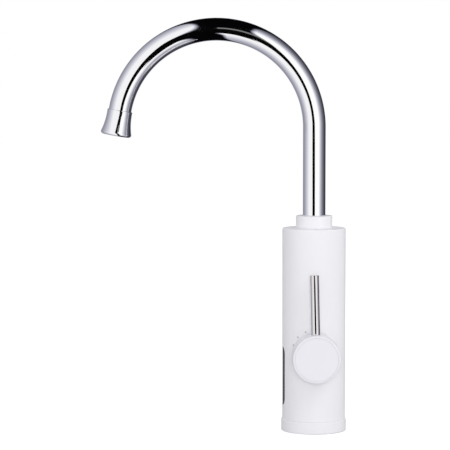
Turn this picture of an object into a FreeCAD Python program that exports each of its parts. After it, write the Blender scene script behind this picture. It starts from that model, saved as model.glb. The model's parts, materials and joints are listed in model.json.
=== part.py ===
import FreeCAD
import Part
import math
import os
from FreeCAD import Placement, Rotation, Vector

# Electric instant water heater tap, in millimetres, +Z up.
# The origin is the centre of the base's underside, on the axis of the body.
# The spout leans over -X, the display window looks to -X and the knob points to -Y.

# Base
base_step = 0.9
base_height = 11.0
base_floor = 5.0
base_rim = 1.4
base_edge = 0.8
gasket_thickness = 2.0
locating_ring_height = 6.0
locating_ring_wall = 2.0

# Body shell, with a slight draft
body_bottom_diameter = 58.2
body_draft = 0.25
body_top = 188.0
shell_wall = 2.6
shell_roof = 3.0
shell_edge = 1.0
knob_boss_diameter = 36.0
knob_boss_wall = 4.7
knob_boss_height = 2.4

# Screws that hold the base to the shell
base_screw_spread = 30.0
base_screw_shank = 2.9
base_screw_head = 5.8
base_screw_head_height = 2.2
base_screw_grip = 11.0
screw_post_diameter = 7.2
screw_post_sink = 0.3
screw_post_length = 15.0
screw_seat = 1.0

# Display window, board and digits
window_width = 20.9
window_height = 55.0
window_centre = 51.3
window_corner = 6.5
lens_lip = 1.2
lens_lip_thickness = 1.2
board_width = 26.4
board_drop = 26.5
board_top_gap = 2.4
board_thickness = 1.6
board_gap = 1.4
rail_lip = 1.2
rail_wall = 1.6
rail_grip = 1.0
rail_foot = 2.0
digit_width = 15.0
digit_height = 24.0
digit_gap = 1.7
digit_rise = 8.0
digit_edge = 0.5
capacitor_diameter = 5.0
capacitor_gap = 1.9
capacitor_drop = 4.0
plug_socket_width = 12.0
plug_socket_height = 6.0
plug_socket_gap = 1.4
plug_socket_drop = 18.0

# Cord gland and terminal block
cord_diameter = 6.8
gland_wall = 1.2
gland_lip = 1.0
gland_lip_thickness = 1.4
terminal_width = 18.0
terminal_foot_gap = 2.3
terminal_height = 9.0
terminal_poles = 3
terminal_well = 3.6
terminal_entry = 2.8

# Valve body with the threaded inlet
inlet_bore = 18.64
inlet_depth = 14.0
inlet_wall = 2.9
inlet_passage = 11.0
filter_diameter = 14.0
filter_thickness = 2.0
filter_hole = 1.2
filter_hole_pitch = 2.2
valve_shoulder = 4.0
valve_taper = 6.0
riser_wall = 3.5
ear_gap = 1.4
ear_diameter = 9.0
ear_thickness = 5.0
valve_screw_shank = 3.9
valve_screw_head = 7.2
valve_screw_head_height = 1.6
valve_screw_length = 8.6

# Headwork of the valve, measured out from the body axis
cartridge_bore = 22.4
cartridge_boss_wall = 2.8
cartridge_floor = 3.0
cartridge_boss_back = 2.0
cartridge_feed = 12.0
seal_thickness = 1.9
seal_hole = 12.6
disc_diameter = 17.6
disc_thickness = 3.2
disc_port = 5.2
disc_port_offset = 4.6
sleeve_waist = 0.9
sleeve_waist_start = 8.5
sleeve_waist_end = 17.5
sleeve_window = 7.0
driver_thickness = 2.9
driver_lug_width = 2.4
driver_lug_height = 1.0
driver_lug_reach = 2.0
stem_diameter = 8.0
stem_flat = 0.8
bonnet_flange_diameter = 26.0
bonnet_flange_thickness = 3.0
bonnet_hex = 17.0
bonnet_hex_height = 3.0
stem_seal_section = 1.4

# Knob and lever pin
knob_height = 72.6
knob_diameter = 43.5
knob_standoff = 3.9
knob_depth = 25.0
knob_wall = 3.0
knob_web = 3.4
knob_edge = 1.0
knob_hub_diameter = 16.0
knob_hub_start = 3.0
stem_grip = 11.0
knob_rim = 2.05
cover_thickness = 2.6
cover_inset = 0.15
cover_edge = 0.3
knob_screw_shank = 3.9
knob_screw_head = 7.2
knob_screw_head_height = 2.0
knob_screw_length = 12.0
lever_diameter = 8.0
lever_setback = 12.5
lever_tip = 75.8
lever_root = 9.0
lever_edge = 0.6
lever_boss_wall = 3.0
lever_rest_turn = 1.4

# Spigot with the flow piston
spigot_diameter = 16.0
spigot_bore = 12.0
spigot_ledge = 2.5
spigot_port = 9.0
piston_length = 7.6
piston_lift = 4.0
piston_flutes = 4
piston_flute = 2.0
magnet_diameter = 6.0
magnet_length = 4.0
spigot_seal_section = 1.6
spigot_seal_drop = 2.6
reed_diameter = 3.2
reed_length = 14.0
reed_clip_wall = 1.2
reed_gap = 2.25

# Heater tank
tank_base_gap = 4.6
tank_base_thickness = 8.0
tank_plug_height = 4.0
tank_shell_gap = 0.9
tank_flange_thickness = 4.5
tank_flange_lip = 4.6
tank_wall = 2.0
tank_straight = 71.0
tank_taper = 8.0
tank_shoulder_diameter = 33.0
tank_seal_section = 1.6
tank_screw_count = 4
tank_screw_first_angle = 30.0
tank_screw_inset = 2.4
tank_screw_shank = 2.4
tank_screw_head = 4.4
tank_screw_head_height = 1.8
tank_screw_bite = 3.5

# Heating element, thermal cut-out and temperature probe
element_tube = 5.0
element_wall_gap = 4.5
element_turns = 5
element_pitch = 9.0
element_bend = 8.0
element_leg_height = 5.0
element_leg_angle = 20.0
element_return_gap = 1.2
element_return_angle = 95.0
element_tail = 8.4
element_nut_flats = 8.0
element_nut_height = 3.6
cutout_diameter = 15.4
cutout_height = 6.5
cutout_flange_thickness = 1.5
cutout_stud = 4.0
cutout_stud_length = 4.0
cutout_margin = 1.8
cutout_angle = 143.8
cutout_tab_width = 4.0
cutout_tab_thickness = 0.8
cutout_tab_length = 3.0
cutout_tab_spread = 7.0
probe_diameter = 4.0
probe_reach = 6.0
probe_head_flats = 7.0
probe_head_height = 2.0
probe_margin = 1.1
probe_angle = -23.0

# Collar and spout
collar_diameter = 33.7
collar_height = 11.4
collar_edge = 0.8
neck_wall = 2.6
neck_rise = 6.2
neck_depth = 10.0
tail_length = 16.0
tail_bore = 15.0
tail_flange = 1.8
tail_flange_thickness = 1.6
tail_plug_length = 12.0
tail_seal_section = 1.86
tail_seal_gap = 0.04
tail_seal_first = 3.0
tail_seal_pitch = 6.0
slip_washer_thickness = 1.2
slip_washer_wall = 1.6
tube_diameter = 21.0
tube_wall = 1.0
bend_radius = 90.0
bend_start = 280.6
bend_sweep = 170.0

# Nozzle and aerator, measured along the flow from the end of the bend
nozzle_length = 23.5
nozzle_top_diameter = 23.1
nozzle_waist_diameter = 24.4
nozzle_waist_at = 12.0
nozzle_mouth_diameter = 28.5
nozzle_lip = 2.4
nozzle_edge = 0.5
tube_grip = 8.0
nozzle_step = 2.0
aerator_diameter = 23.2
aerator_wall = 1.2
aerator_height = 10.5
aerator_plate = 2.0
aerator_plate_depth = 4.0
aerator_hole = 1.7
aerator_hole_pitch = 2.6
aerator_rings = 3
aerator_washer_thickness = 1.5
aerator_washer_hole = 15.0

# Clearances, each on one side
seat_gap = 0.05
fit_gap = 0.1
running_gap = 0.06
face_gap = 0.05
moving_gap = 0.3
clear_gap = 0.2
overcut = 1.0
tiny = 1e-4

# Worked out from the sizes above
body_bottom_radius = body_bottom_diameter / 2
body_top_radius = body_bottom_radius + body_draft
base_radius = body_bottom_radius + base_step
shell_bore_radius = body_bottom_radius - shell_wall
shell_roof_low = body_top - shell_roof
locating_ring_top = base_height + locating_ring_height
locating_ring_radius = shell_bore_radius - fit_gap
locating_ring_inner = locating_ring_radius - locating_ring_wall
screw_post_radius = screw_post_diameter / 2
screw_circle_radius = shell_bore_radius + screw_post_sink - screw_post_radius
screw_head_seat = gasket_thickness + base_screw_head_height + screw_seat
screw_post_low = locating_ring_top + clear_gap
screw_tip = screw_post_low + base_screw_grip

foot_radius = inlet_bore / 2 + inlet_wall
valve_barrel_top = inlet_depth + valve_shoulder
riser_radius = inlet_passage / 2 + riser_wall
ear_span = 2 * (locating_ring_inner - ear_diameter / 2 - ear_gap)
gland_radius = cord_diameter / 2 + gland_wall
gland_x = foot_radius + fit_gap + clear_gap + gland_radius + gland_lip
cartridge_bore_radius = cartridge_bore / 2
cartridge_boss_radius = cartridge_bore_radius + cartridge_boss_wall
cartridge_boss_front = math.sqrt(shell_bore_radius ** 2 - cartridge_boss_radius ** 2) - moving_gap
riser_top = knob_height + inlet_passage / 2 + riser_wall
spigot_offset = (shell_bore_radius - reed_gap - reed_diameter - seat_gap
                 - spigot_diameter / 2)

piston_ledge = knob_height + cartridge_bore_radius + spigot_ledge
piston_low = piston_ledge + face_gap
piston_top = piston_low + piston_length
spigot_top = piston_top + piston_lift + fit_gap
tank_base_low = knob_height + cartridge_boss_radius + tank_base_gap
tank_base_top = tank_base_low + tank_base_thickness
plug_top = tank_base_top + tank_plug_height
tank_flange_radius = shell_bore_radius - tank_shell_gap
tank_outer_radius = tank_flange_radius - tank_flange_lip
tank_bore_radius = tank_outer_radius - tank_wall
tank_straight_top = tank_base_top + tank_straight
element_coil_radius = tank_bore_radius - element_wall_gap - element_tube / 2
element_return_radius = element_coil_radius - element_tube - element_return_gap
cutout_body_low = tank_base_low - cutout_flange_thickness - cutout_height
cutout_low = cutout_body_low - cutout_tab_length
cutout_reach = tank_flange_radius - cutout_margin - cutout_diameter / 2
cutout_x = cutout_reach * math.cos(math.radians(cutout_angle))
cutout_y = cutout_reach * math.sin(math.radians(cutout_angle))
probe_reach_out = tank_bore_radius - tank_seal_section - probe_margin - probe_diameter / 2
probe_x = probe_reach_out * math.cos(math.radians(probe_angle))
probe_y = probe_reach_out * math.sin(math.radians(probe_angle))

tube_radius = tube_diameter / 2
tail_radius = tube_radius
neck_bore_radius = tail_radius + running_gap
neck_radius = neck_bore_radius + neck_wall
neck_top = body_top + neck_rise
tail_flange_low = neck_top + face_gap
tail_flange_top = tail_flange_low + tail_flange_thickness
washer_low = tail_flange_top + face_gap
collar_top = body_top + collar_height
collar_lip_low = washer_low + slip_washer_thickness
outlet_turn = Rotation(Vector(0, 1, 0), -bend_sweep)
outlet_x = bend_radius * (math.cos(math.radians(bend_sweep)) - 1)
outlet_z = bend_start + bend_radius * math.sin(math.radians(bend_sweep))

fixed_disc_near = cartridge_floor + seal_thickness
fixed_disc_far = fixed_disc_near + disc_thickness
moving_disc_near = fixed_disc_far + face_gap
moving_disc_far = moving_disc_near + disc_thickness
driver_near = moving_disc_far + face_gap
driver_far = driver_near + driver_thickness
stem_radius = stem_diameter / 2
disc_radius = disc_diameter / 2
sleeve_bore_radius = disc_radius + moving_gap
sleeve_shoulder = driver_far + moving_gap
bonnet_front = cartridge_boss_front + bonnet_flange_thickness + bonnet_hex_height
knob_back = body_bottom_radius + knob_standoff
knob_front = knob_back + knob_depth
cover_diameter = knob_diameter - 2 * knob_rim
cover_back = knob_front - cover_thickness
knob_web_back = cover_back - knob_web
hub_back = knob_back + knob_hub_start
stem_end = hub_back + stem_grip
screw_head_back = cover_back - knob_screw_head_height
lever_out = knob_front - lever_setback


def rod(radius, low, high, x=0.0, y=0.0):
    """A round bar along Z."""
    return Part.makeCylinder(radius, high - low, Vector(x, y, low))


def ring(outer, inner, low, high, x=0.0, y=0.0):
    """A round ring along Z."""
    return rod(outer, low, high, x, y).cut(rod(inner, low - overcut, high + overcut, x, y))


def bar_x(radius, start, length):
    """A round bar along X."""
    return Part.makeCylinder(radius, length, start, Vector(1, 0, 0))


def block(x_range, y_range, z_range):
    """A square block between the given limits."""
    sizes = [high - low for low, high in (x_range, y_range, z_range)]
    return Part.makeBox(*sizes, Vector(x_range[0], y_range[0], z_range[0]))


def turned_from(edges):
    """A solid turned about Z from the closed edges of its half section."""
    solid = Part.Face(Part.Wire(edges)).revolve(Vector(0, 0, 0), Vector(0, 0, 1), 360)
    if solid.Volume < 0:
        solid.reverse()
    return solid


def turned(corners):
    """A solid turned about Z from the (radius, height) corners of its half section."""
    points = [Vector(radius, 0, height) for radius, height in corners]
    return turned_from(Part.makePolygon(points + points[:1]).Edges)


def hexagon(flats, low, high, x=0.0, y=0.0):
    """A hexagonal bar along Z, given across its flats."""
    reach = flats / math.sqrt(3)
    corners = [Vector(x + reach * math.cos(math.radians(60 * side)),
                      y + reach * math.sin(math.radians(60 * side)), low) for side in range(6)]
    face = Part.Face(Part.makePolygon(corners + corners[:1]))
    return face.extrude(Vector(0, 0, high - low))


def torus(centre_radius, section, height):
    """A round ring seal about Z."""
    return Part.makeTorus(centre_radius, section / 2, Vector(0, 0, height))


def round_edges(shape, radius, height):
    """The circular edges of that radius about Z at that height."""
    return [edge for edge in shape.Edges if isinstance(edge.Curve, Part.Circle)
            and abs(edge.Curve.Radius - radius) < tiny and abs(edge.Curve.Center.z - height) < tiny]


def around(count, first_angle, radius):
    """Points evenly spaced on a circle about Z."""
    angles = [math.radians(first_angle + 360 * place / count) for place in range(count)]
    return [(radius * math.cos(angle), radius * math.sin(angle)) for angle in angles]


def joined(shapes):
    """One clean solid out of touching ones."""
    return shapes[0].multiFuse(shapes[1:]).removeSplitter()


def on_knob_axis(shape):
    """Moves a shape whose +Z points outward to the knob's axis, +Y upward."""
    moved = shape.copy()
    moved.Placement = Placement(Vector(0, 0, knob_height), Rotation(Vector(1, 0, 0), 90))
    return moved


def on_lever(shape):
    """Moves a shape to the knob's axis, turned to where the lever rests."""
    turned_shape = shape.copy()
    turned_shape.rotate(Vector(0, 0, 0), Vector(0, 0, 1), lever_rest_turn)
    turn = Rotation(Vector(1, 0, 0), 90)
    turned_shape.Placement = Placement(Vector(0, 0, knob_height), turn).multiply(turned_shape.Placement)
    return turned_shape


def on_outlet(shape):
    """Moves a shape whose +Z runs with the flow to the end of the bend."""
    moved = shape.copy()
    moved.Placement = Placement(Vector(outlet_x, 0, outlet_z), outlet_turn)
    return moved


# Body shell, base and display

def body_form():
    """The outer form of the body, solid."""
    form = turned([(0, base_height), (body_bottom_radius, base_height),
                   (body_top_radius, body_top), (0, body_top)])
    return form.makeFillet(shell_edge, round_edges(form, body_top_radius, body_top))


def window_bar(margin):
    """A bar with rounded corners through the window, along X, larger all round by the margin."""
    half_width = window_width / 2 + margin
    half_height = window_height / 2 + margin
    bar = block((-2 * base_radius, 0), (-half_width, half_width),
                (window_centre - half_height, window_centre + half_height))
    long_edges = [edge for edge in bar.Edges if abs(edge.tangentAt(edge.FirstParameter).x) > 1 - tiny]
    return bar.makeFillet(window_corner + margin, long_edges)


board_back = cartridge_boss_radius + board_gap
board_front = board_back + board_thickness
board_low = window_centre - board_drop
lens_inner_radius = shell_bore_radius - seat_gap - lens_lip_thickness
board_high = cutout_low - board_top_gap


def board_rail(side):
    """An upright rail inside the shell that holds one edge of the board in a slot."""
    outer = board_width / 2 + fit_gap + rail_wall
    inner = board_width / 2 - rail_grip
    wall_x = math.sqrt((shell_bore_radius + shell_wall / 2) ** 2 - outer ** 2)
    sides = sorted((side * inner, side * outer))
    slot_sides = sorted((side * (inner - overcut), side * (board_width / 2 + fit_gap)))
    rail = block((-wall_x, rail_lip - board_back), sides, (board_low - rail_foot, board_high))
    slot = block((-board_front - fit_gap, fit_gap - board_back), slot_sides,
                 (board_low, board_high + overcut))
    return rail.cut(slot)


def base_screw_places():
    """Where the base screws stand: a pair on the knob's side and a pair behind."""
    lean = math.radians(base_screw_spread)
    x = screw_circle_radius * math.sin(lean)
    y = screw_circle_radius * math.cos(lean)
    return [(x, y), (-x, y), (-x, -y), (x, -y)]


def make_body_shell():
    """The white moulded housing, open below, with posts for the base screws and rails for the board."""
    form = body_form()
    hollow = rod(shell_bore_radius, base_height - overcut, shell_roof_low)
    boss_end = body_bottom_radius + knob_boss_height
    boss = on_knob_axis(rod(knob_boss_diameter / 2, 0, boss_end))
    post_places = base_screw_places()
    posts = [rod(screw_post_radius, screw_post_low, screw_post_low + screw_post_length, x, y)
             for x, y in post_places]
    rails = [board_rail(side) for side in (-1, 1)]
    shell = joined([form.fuse(boss).cut(hollow)] + posts + rails)
    holes = [rod(base_screw_shank / 2 + seat_gap, screw_post_low - overcut, screw_tip + clear_gap, x, y)
             for x, y in post_places]
    neck_hole = rod(neck_radius + clear_gap, shell_roof_low - overcut, body_top + overcut)
    knob_hole = on_knob_axis(rod(knob_boss_diameter / 2 - knob_boss_wall, 0, boss_end + overcut))
    return shell.cut(holes + [window_bar(0), neck_hole, knob_hole])


def make_base_cap():
    """The ring under the body: a floor with a ring that centres the shell and four screw towers."""
    cap = turned([(0, 0), (base_radius, 0), (base_radius, base_height), (locating_ring_radius, base_height),
                  (locating_ring_radius, locating_ring_top), (locating_ring_inner, locating_ring_top),
                  (locating_ring_inner, base_floor), (0, base_floor)])
    rims = round_edges(cap, base_radius, 0) + round_edges(cap, base_radius, base_height)
    cap = cap.makeFillet(base_edge, rims)
    screw_places = base_screw_places()
    towers = [rod(screw_post_radius, base_floor, locating_ring_top, x, y).common(
        rod(locating_ring_radius, 0, locating_ring_top)) for x, y in screw_places]
    cap = joined([cap] + towers)
    cuts = [rod(base_radius - base_rim, -overcut, gasket_thickness),
            rod(foot_radius + fit_gap, -overcut, base_floor + overcut),
            rod(gland_radius + seat_gap, -overcut, base_floor + overcut, gland_x),
            rod(gland_radius + gland_lip + clear_gap, base_floor, locating_ring_top + overcut, gland_x)]
    for x, y in screw_places:
        cuts.append(rod(base_screw_head / 2 + clear_gap, 0, screw_head_seat, x, y))
        cuts.append(rod(base_screw_shank / 2 + clear_gap, 0, locating_ring_top + overcut, x, y))
    cuts += [countersunk_screw(side * ear_span / 2, fit_gap) for side in (-1, 1)]
    return cap.cut(cuts)


def make_base_gasket():
    """The rubber plate that seals the base to the deck, flush with the rim."""
    plate = ring(base_radius - base_rim - fit_gap, foot_radius + clear_gap, 0, gasket_thickness)
    gland_hole = rod(gland_radius + gland_lip + clear_gap, -overcut, gasket_thickness + overcut, gland_x)
    return plate.cut(gland_hole)


def make_base_screws():
    """The screws that go up through the base into the posts of the shell."""
    screws = []
    for x, y in base_screw_places():
        head = rod(base_screw_head / 2, screw_head_seat - base_screw_head_height, screw_head_seat, x, y)
        shank = rod(base_screw_shank / 2, screw_head_seat, screw_tip, x, y)
        screws.append(head.fuse(shank))
    return Part.makeCompound(screws)


def make_cord_gland():
    """The rubber grommet in the base that the cord passes through."""
    lip_radius = gland_radius + gland_lip
    grommet = joined([rod(gland_radius, gasket_thickness - gland_lip_thickness,
                          base_floor + gland_lip_thickness, gland_x),
                      rod(lip_radius, gasket_thickness - gland_lip_thickness, gasket_thickness, gland_x),
                      rod(lip_radius, base_floor, base_floor + gland_lip_thickness, gland_x)])
    return grommet.cut(rod(cord_diameter / 2, 0, base_floor + 2 * gland_lip_thickness, gland_x))


def make_terminal_block():
    """The block where the cord's wires end, with a screw well and a wire entry for each pole."""
    back = clear_gap - math.sqrt(locating_ring_inner ** 2 - (terminal_width / 2) ** 2)
    near = -foot_radius - terminal_foot_gap
    top = base_floor + terminal_height
    body = block((back, near), (-terminal_width / 2, terminal_width / 2), (base_floor, top))
    cuts = []
    pole_pitch = terminal_width / terminal_poles
    for pole in range(terminal_poles):
        y = pole_pitch * (pole + 0.5) - terminal_width / 2
        cuts.append(rod(terminal_well / 2, top - terminal_height / 2, top + overcut, (back + near) / 2, y))
        entry = Vector(back - overcut, y, base_floor + terminal_height / 3)
        cuts.append(bar_x(terminal_entry / 2, entry, near - back + 2 * overcut))
    return body.cut(cuts)


def make_display_lens():
    """The dark window, flush with the body, with a lip that rests on the inside of the shell."""
    plug = window_bar(-fit_gap).common(body_form()).cut(rod(lens_inner_radius, 0, body_top))
    lip_low = window_centre - window_height
    lip_high = window_centre + window_height
    sleeve = ring(shell_bore_radius - seat_gap, lens_inner_radius, lip_low, lip_high)
    lip = window_bar(lens_lip).common(sleeve)
    return joined([plug, lip])


def make_display_board():
    """The circuit board behind the window, with its plug socket and two capacitors."""
    board = block((-board_front, -board_back), (-board_width / 2, board_width / 2), (board_low, board_high))
    socket_z = window_centre - plug_socket_drop
    socket = block((-board_back, -riser_radius - plug_socket_gap),
                   (-plug_socket_width / 2, plug_socket_width / 2),
                   (socket_z - plug_socket_height / 2, socket_z + plug_socket_height / 2))
    capacitor_z = window_centre - capacitor_drop
    capacitors = [bar_x(capacitor_diameter / 2, Vector(-board_back, side * capacitor_diameter, capacitor_z),
                        board_back - riser_radius - capacitor_gap) for side in (-1, 1)]
    return joined([board, socket] + capacitors)


def make_digit_module():
    """The block of lit digits on the front of the board."""
    centre = window_centre + digit_rise
    front = math.sqrt(lens_inner_radius ** 2 - (digit_width / 2) ** 2) - digit_gap
    module = block((-front, -board_front), (-digit_width / 2, digit_width / 2),
                   (centre - digit_height / 2, centre + digit_height / 2))
    front_edges = [edge for edge in module.Edges if edge.BoundBox.XMax < tiny - front]
    return module.makeChamfer(digit_edge, front_edges)


# Valve body and headwork

def countersunk_screw(y, gap):
    """A screw up through the base into an ear of the valve body, grown all round by the gap."""
    head_radius = valve_screw_head / 2 + gap
    shank_radius = valve_screw_shank / 2 + gap
    tip = gasket_thickness + valve_screw_length + gap
    neck = gasket_thickness + valve_screw_head_height
    screw = turned([(0, gasket_thickness), (head_radius, gasket_thickness), (shank_radius, neck),
                    (shank_radius, tip), (0, tip)])
    screw.translate(Vector(0, y, 0))
    return screw


def make_valve_screws():
    """The two screws that hold the valve body down on the base."""
    return Part.makeCompound([countersunk_screw(side * ear_span / 2, 0) for side in (-1, 1)])


def valve_ears():
    """The oval flange of the valve body, its sides tangent to the barrel and to both ears."""
    ear_radius = ear_diameter / 2
    lean = math.asin((foot_radius - ear_radius) / (ear_span / 2))
    plate = rod(foot_radius, base_floor, base_floor + ear_thickness)
    for side in (-1, 1):
        ear = rod(ear_radius, base_floor, base_floor + ear_thickness, 0, side * ear_span / 2)
        wide = Vector(foot_radius * math.cos(lean), side * foot_radius * math.sin(lean), base_floor)
        tip_y = side * (ear_span / 2 + ear_radius * math.sin(lean))
        tip = Vector(ear_radius * math.cos(lean), tip_y, base_floor)
        mirrored = [Vector(-point.x, point.y, point.z) for point in (tip, wide)]
        cheek = Part.Face(Part.makePolygon([wide, tip] + mirrored + [wide]))
        plate = plate.fuse([ear, cheek.extrude(Vector(0, 0, ear_thickness))])
    return plate


def make_valve_body():
    """The brass casting: threaded foot, ears, riser, side boss for the headwork and outlet spigot."""
    column = turned([(0, 0), (foot_radius, 0), (foot_radius, valve_barrel_top),
                     (riser_radius, valve_barrel_top + valve_taper), (riser_radius, riser_top),
                     (0, riser_top)])
    boss = on_knob_axis(rod(cartridge_boss_radius, -cartridge_boss_back, cartridge_boss_front))
    spigot = rod(spigot_diameter / 2, knob_height, spigot_top, 0, -spigot_offset)
    casting = joined([column, valve_ears(), boss, spigot])
    groove_high = spigot_top - spigot_seal_drop
    groove = ring(spigot_diameter / 2 + overcut, spigot_diameter / 2 - spigot_seal_section + fit_gap,
                  groove_high - spigot_seal_section - fit_gap, groove_high, 0, -spigot_offset)
    cuts = [rod(inlet_bore / 2, -overcut, inlet_depth),
            rod(filter_diameter / 2, 0, inlet_depth + filter_thickness),
            rod(inlet_passage / 2, 0, knob_height),
            on_knob_axis(rod(cartridge_feed / 2, 0, cartridge_floor + overcut)),
            on_knob_axis(rod(cartridge_bore_radius, cartridge_floor, cartridge_boss_front + overcut)),
            rod(spigot_port / 2, knob_height, spigot_top, 0, -spigot_offset),
            rod(spigot_bore / 2, piston_ledge, spigot_top + overcut, 0, -spigot_offset), groove]
    cuts += [countersunk_screw(side * ear_span / 2, seat_gap) for side in (-1, 1)]
    return casting.cut(cuts)


def hole_grid(hole, pitch, rings, low, high):
    """Round holes along Z in rings of six, twelve and so on about the centre one."""
    holes = [rod(hole / 2, low, high)]
    for level in range(1, rings + 1):
        holes += [rod(hole / 2, low, high, x, y) for x, y in around(6 * level, 0, level * pitch)]
    return holes


def make_inlet_filter():
    """The perforated disc at the end of the threaded inlet."""
    low = inlet_depth
    high = inlet_depth + filter_thickness
    disc = rod(filter_diameter / 2 - seat_gap, low, high)
    rings = int((inlet_passage / 2 - filter_hole) / filter_hole_pitch)
    return disc.cut(hole_grid(filter_hole, filter_hole_pitch, rings, low - overcut, high + overcut))


def make_cartridge_seal():
    """The rubber ring at the bottom of the headwork's socket."""
    seal = ring(cartridge_bore_radius - fit_gap, seal_hole / 2, cartridge_floor, fixed_disc_near)
    return on_knob_axis(seal)


def make_fixed_disc():
    """The ceramic disc that stays still, with two ports side by side."""
    disc = rod(disc_radius, fixed_disc_near, fixed_disc_far)
    ports = [rod(disc_port / 2, fixed_disc_near - overcut, fixed_disc_far + overcut, side * disc_port_offset)
             for side in (-1, 1)]
    return on_knob_axis(disc.cut(ports))


def driver_lug(side, gap):
    """A lug of the spindle's driver, which turns the moving disc, grown by the gap."""
    half = driver_lug_width / 2 + gap
    reach = sorted((side * (disc_radius - driver_lug_reach - gap), side * (disc_radius + gap)))
    bar = block(reach, (-half, half), (moving_disc_far - driver_lug_height - gap, driver_near + tiny))
    return bar.common(rod(disc_radius + gap, fixed_disc_far, driver_far))


def make_moving_disc():
    """The ceramic disc that turns with the lever, its ports a quarter turn from the fixed ones."""
    disc = rod(disc_radius, moving_disc_near, moving_disc_far)
    cuts = [rod(disc_port / 2, moving_disc_near - overcut, moving_disc_far + overcut,
                0, side * disc_port_offset) for side in (-1, 1)]
    cuts += [driver_lug(side, face_gap) for side in (-1, 1)]
    return on_lever(disc.cut(cuts))


def stem_bar(radius, low, high, gap):
    """The end of the stem, with one flat, grown by the gap."""
    flat = stem_radius - stem_flat + gap
    beyond = block((flat, flat + stem_diameter), (-stem_diameter, stem_diameter),
                   (low - overcut, high + overcut))
    return rod(radius + gap, low, high).cut(beyond)


stem_seal_at = (sleeve_shoulder + cartridge_boss_front) / 2
stem_seal_radius = stem_radius - stem_seal_section / 2 - running_gap / 2


def make_spindle():
    """The driver and stem that carry the lever's turn to the moving disc."""
    driver = rod(disc_radius, driver_near, driver_far)
    stem = rod(stem_radius, driver_far, hub_back)
    lugs = [driver_lug(side, 0) for side in (-1, 1)]
    spindle = joined([driver, stem, stem_bar(stem_radius, hub_back, stem_end, 0)] + lugs)
    half_groove = stem_seal_section / 2 + fit_gap
    groove = ring(stem_radius + overcut, stem_seal_radius - stem_seal_section / 2 - seat_gap,
                  stem_seal_at - half_groove, stem_seal_at + half_groove)
    thread_end = screw_head_back - knob_screw_length - clear_gap
    thread = rod(knob_screw_shank / 2 + seat_gap, thread_end, stem_end + overcut)
    return on_lever(spindle.cut([groove, thread]))


def make_spindle_ring():
    """The ring seal on the stem."""
    return on_lever(torus(stem_seal_radius, stem_seal_section, stem_seal_at))


def make_cartridge_body():
    """The brass sleeve that holds the discs, with side windows, a flange and a hexagon."""
    outer = cartridge_bore_radius - fit_gap
    waist = outer - sleeve_waist
    sleeve = turned([(0, fixed_disc_near), (outer, fixed_disc_near), (outer, sleeve_waist_start),
                     (waist, sleeve_waist_start), (waist, sleeve_waist_end), (outer, sleeve_waist_end),
                     (outer, cartridge_boss_front), (bonnet_flange_diameter / 2, cartridge_boss_front),
                     (bonnet_flange_diameter / 2, bonnet_front - bonnet_hex_height),
                     (0, bonnet_front - bonnet_hex_height)])
    sleeve = sleeve.fuse(hexagon(bonnet_hex, bonnet_front - bonnet_hex_height, bonnet_front))
    half_window = sleeve_window / 2
    windows = block((-bonnet_flange_diameter, bonnet_flange_diameter), (-half_window, half_window),
                    (moving_disc_near, driver_near))
    cuts = [rod(sleeve_bore_radius, fixed_disc_near - overcut, sleeve_shoulder),
            rod(stem_radius + running_gap, fixed_disc_near, bonnet_front + overcut), windows]
    return on_knob_axis(sleeve.cut(cuts))


# Knob and lever

def make_knob():
    """The white knob: a cup with a hub on the stem, a boss for the lever pin and a recess for its cover."""
    radius = knob_diameter / 2
    body = rod(radius, knob_back, knob_front)
    body = body.makeFillet(knob_edge, round_edges(body, radius, knob_front))
    hollow = rod(radius - knob_wall, knob_back - overcut, knob_web_back)
    hub = rod(knob_hub_diameter / 2, hub_back, knob_web_back + overcut)
    boss = Part.makeCylinder(lever_diameter / 2 + lever_boss_wall, radius - knob_wall / 2,
                             Vector(0, 0, lever_out), Vector(0, 1, 0))
    knob = joined([body.cut(hollow), hub, boss])
    cuts = [rod(cover_diameter / 2 + fit_gap, cover_back, knob_front + overcut),
            rod(knob_screw_head / 2 + fit_gap, screw_head_back, knob_front),
            rod(knob_screw_shank / 2 + fit_gap, stem_end, knob_front),
            stem_bar(stem_radius, hub_back - overcut, stem_end, seat_gap),
            lever_bar(seat_gap, radius + overcut)]
    return on_lever(knob.cut(cuts))


def lever_bar(gap, tip):
    """The bar of the lever pin, across the knob's axis, grown by the gap."""
    return Part.makeCylinder(lever_diameter / 2 + gap, tip - lever_root, Vector(0, lever_root, lever_out),
                             Vector(0, 1, 0))


def make_lever_pin():
    """The chromed pin that stands up from the knob."""
    pin = lever_bar(0, lever_tip)
    tip_edges = [edge for edge in pin.Edges if edge.BoundBox.YMin > lever_tip - tiny]
    return on_lever(pin.makeFillet(lever_edge, tip_edges))


def make_knob_cover():
    """The disc that covers the screw in the knob's front."""
    front = knob_front - cover_inset
    disc = rod(cover_diameter / 2, cover_back, front)
    return on_lever(disc.makeChamfer(cover_edge, round_edges(disc, cover_diameter / 2, front)))


def make_knob_screw():
    """The screw that holds the knob on the stem."""
    head = rod(knob_screw_head / 2, screw_head_back, cover_back - face_gap)
    shank = rod(knob_screw_shank / 2, screw_head_back - knob_screw_length, screw_head_back)
    return on_lever(head.fuse(shank))


# Flow switch

def make_flow_piston():
    """The fluted piston that the running water lifts."""
    radius = spigot_bore / 2 - running_gap
    piston = rod(radius, piston_low, piston_top)
    flutes = [rod(piston_flute / 2, piston_low - overcut, piston_top + overcut, x, y)
              for x, y in around(piston_flutes, 0, radius)]
    pocket = rod(magnet_diameter / 2 + seat_gap, piston_top - magnet_length, piston_top + overcut)
    piston = piston.cut(flutes + [pocket])
    piston.translate(Vector(0, -spigot_offset, 0))
    return piston


def make_piston_magnet():
    """The magnet in the piston that closes the reed switch."""
    return rod(magnet_diameter / 2, piston_top - magnet_length, piston_top, 0, -spigot_offset)


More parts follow.
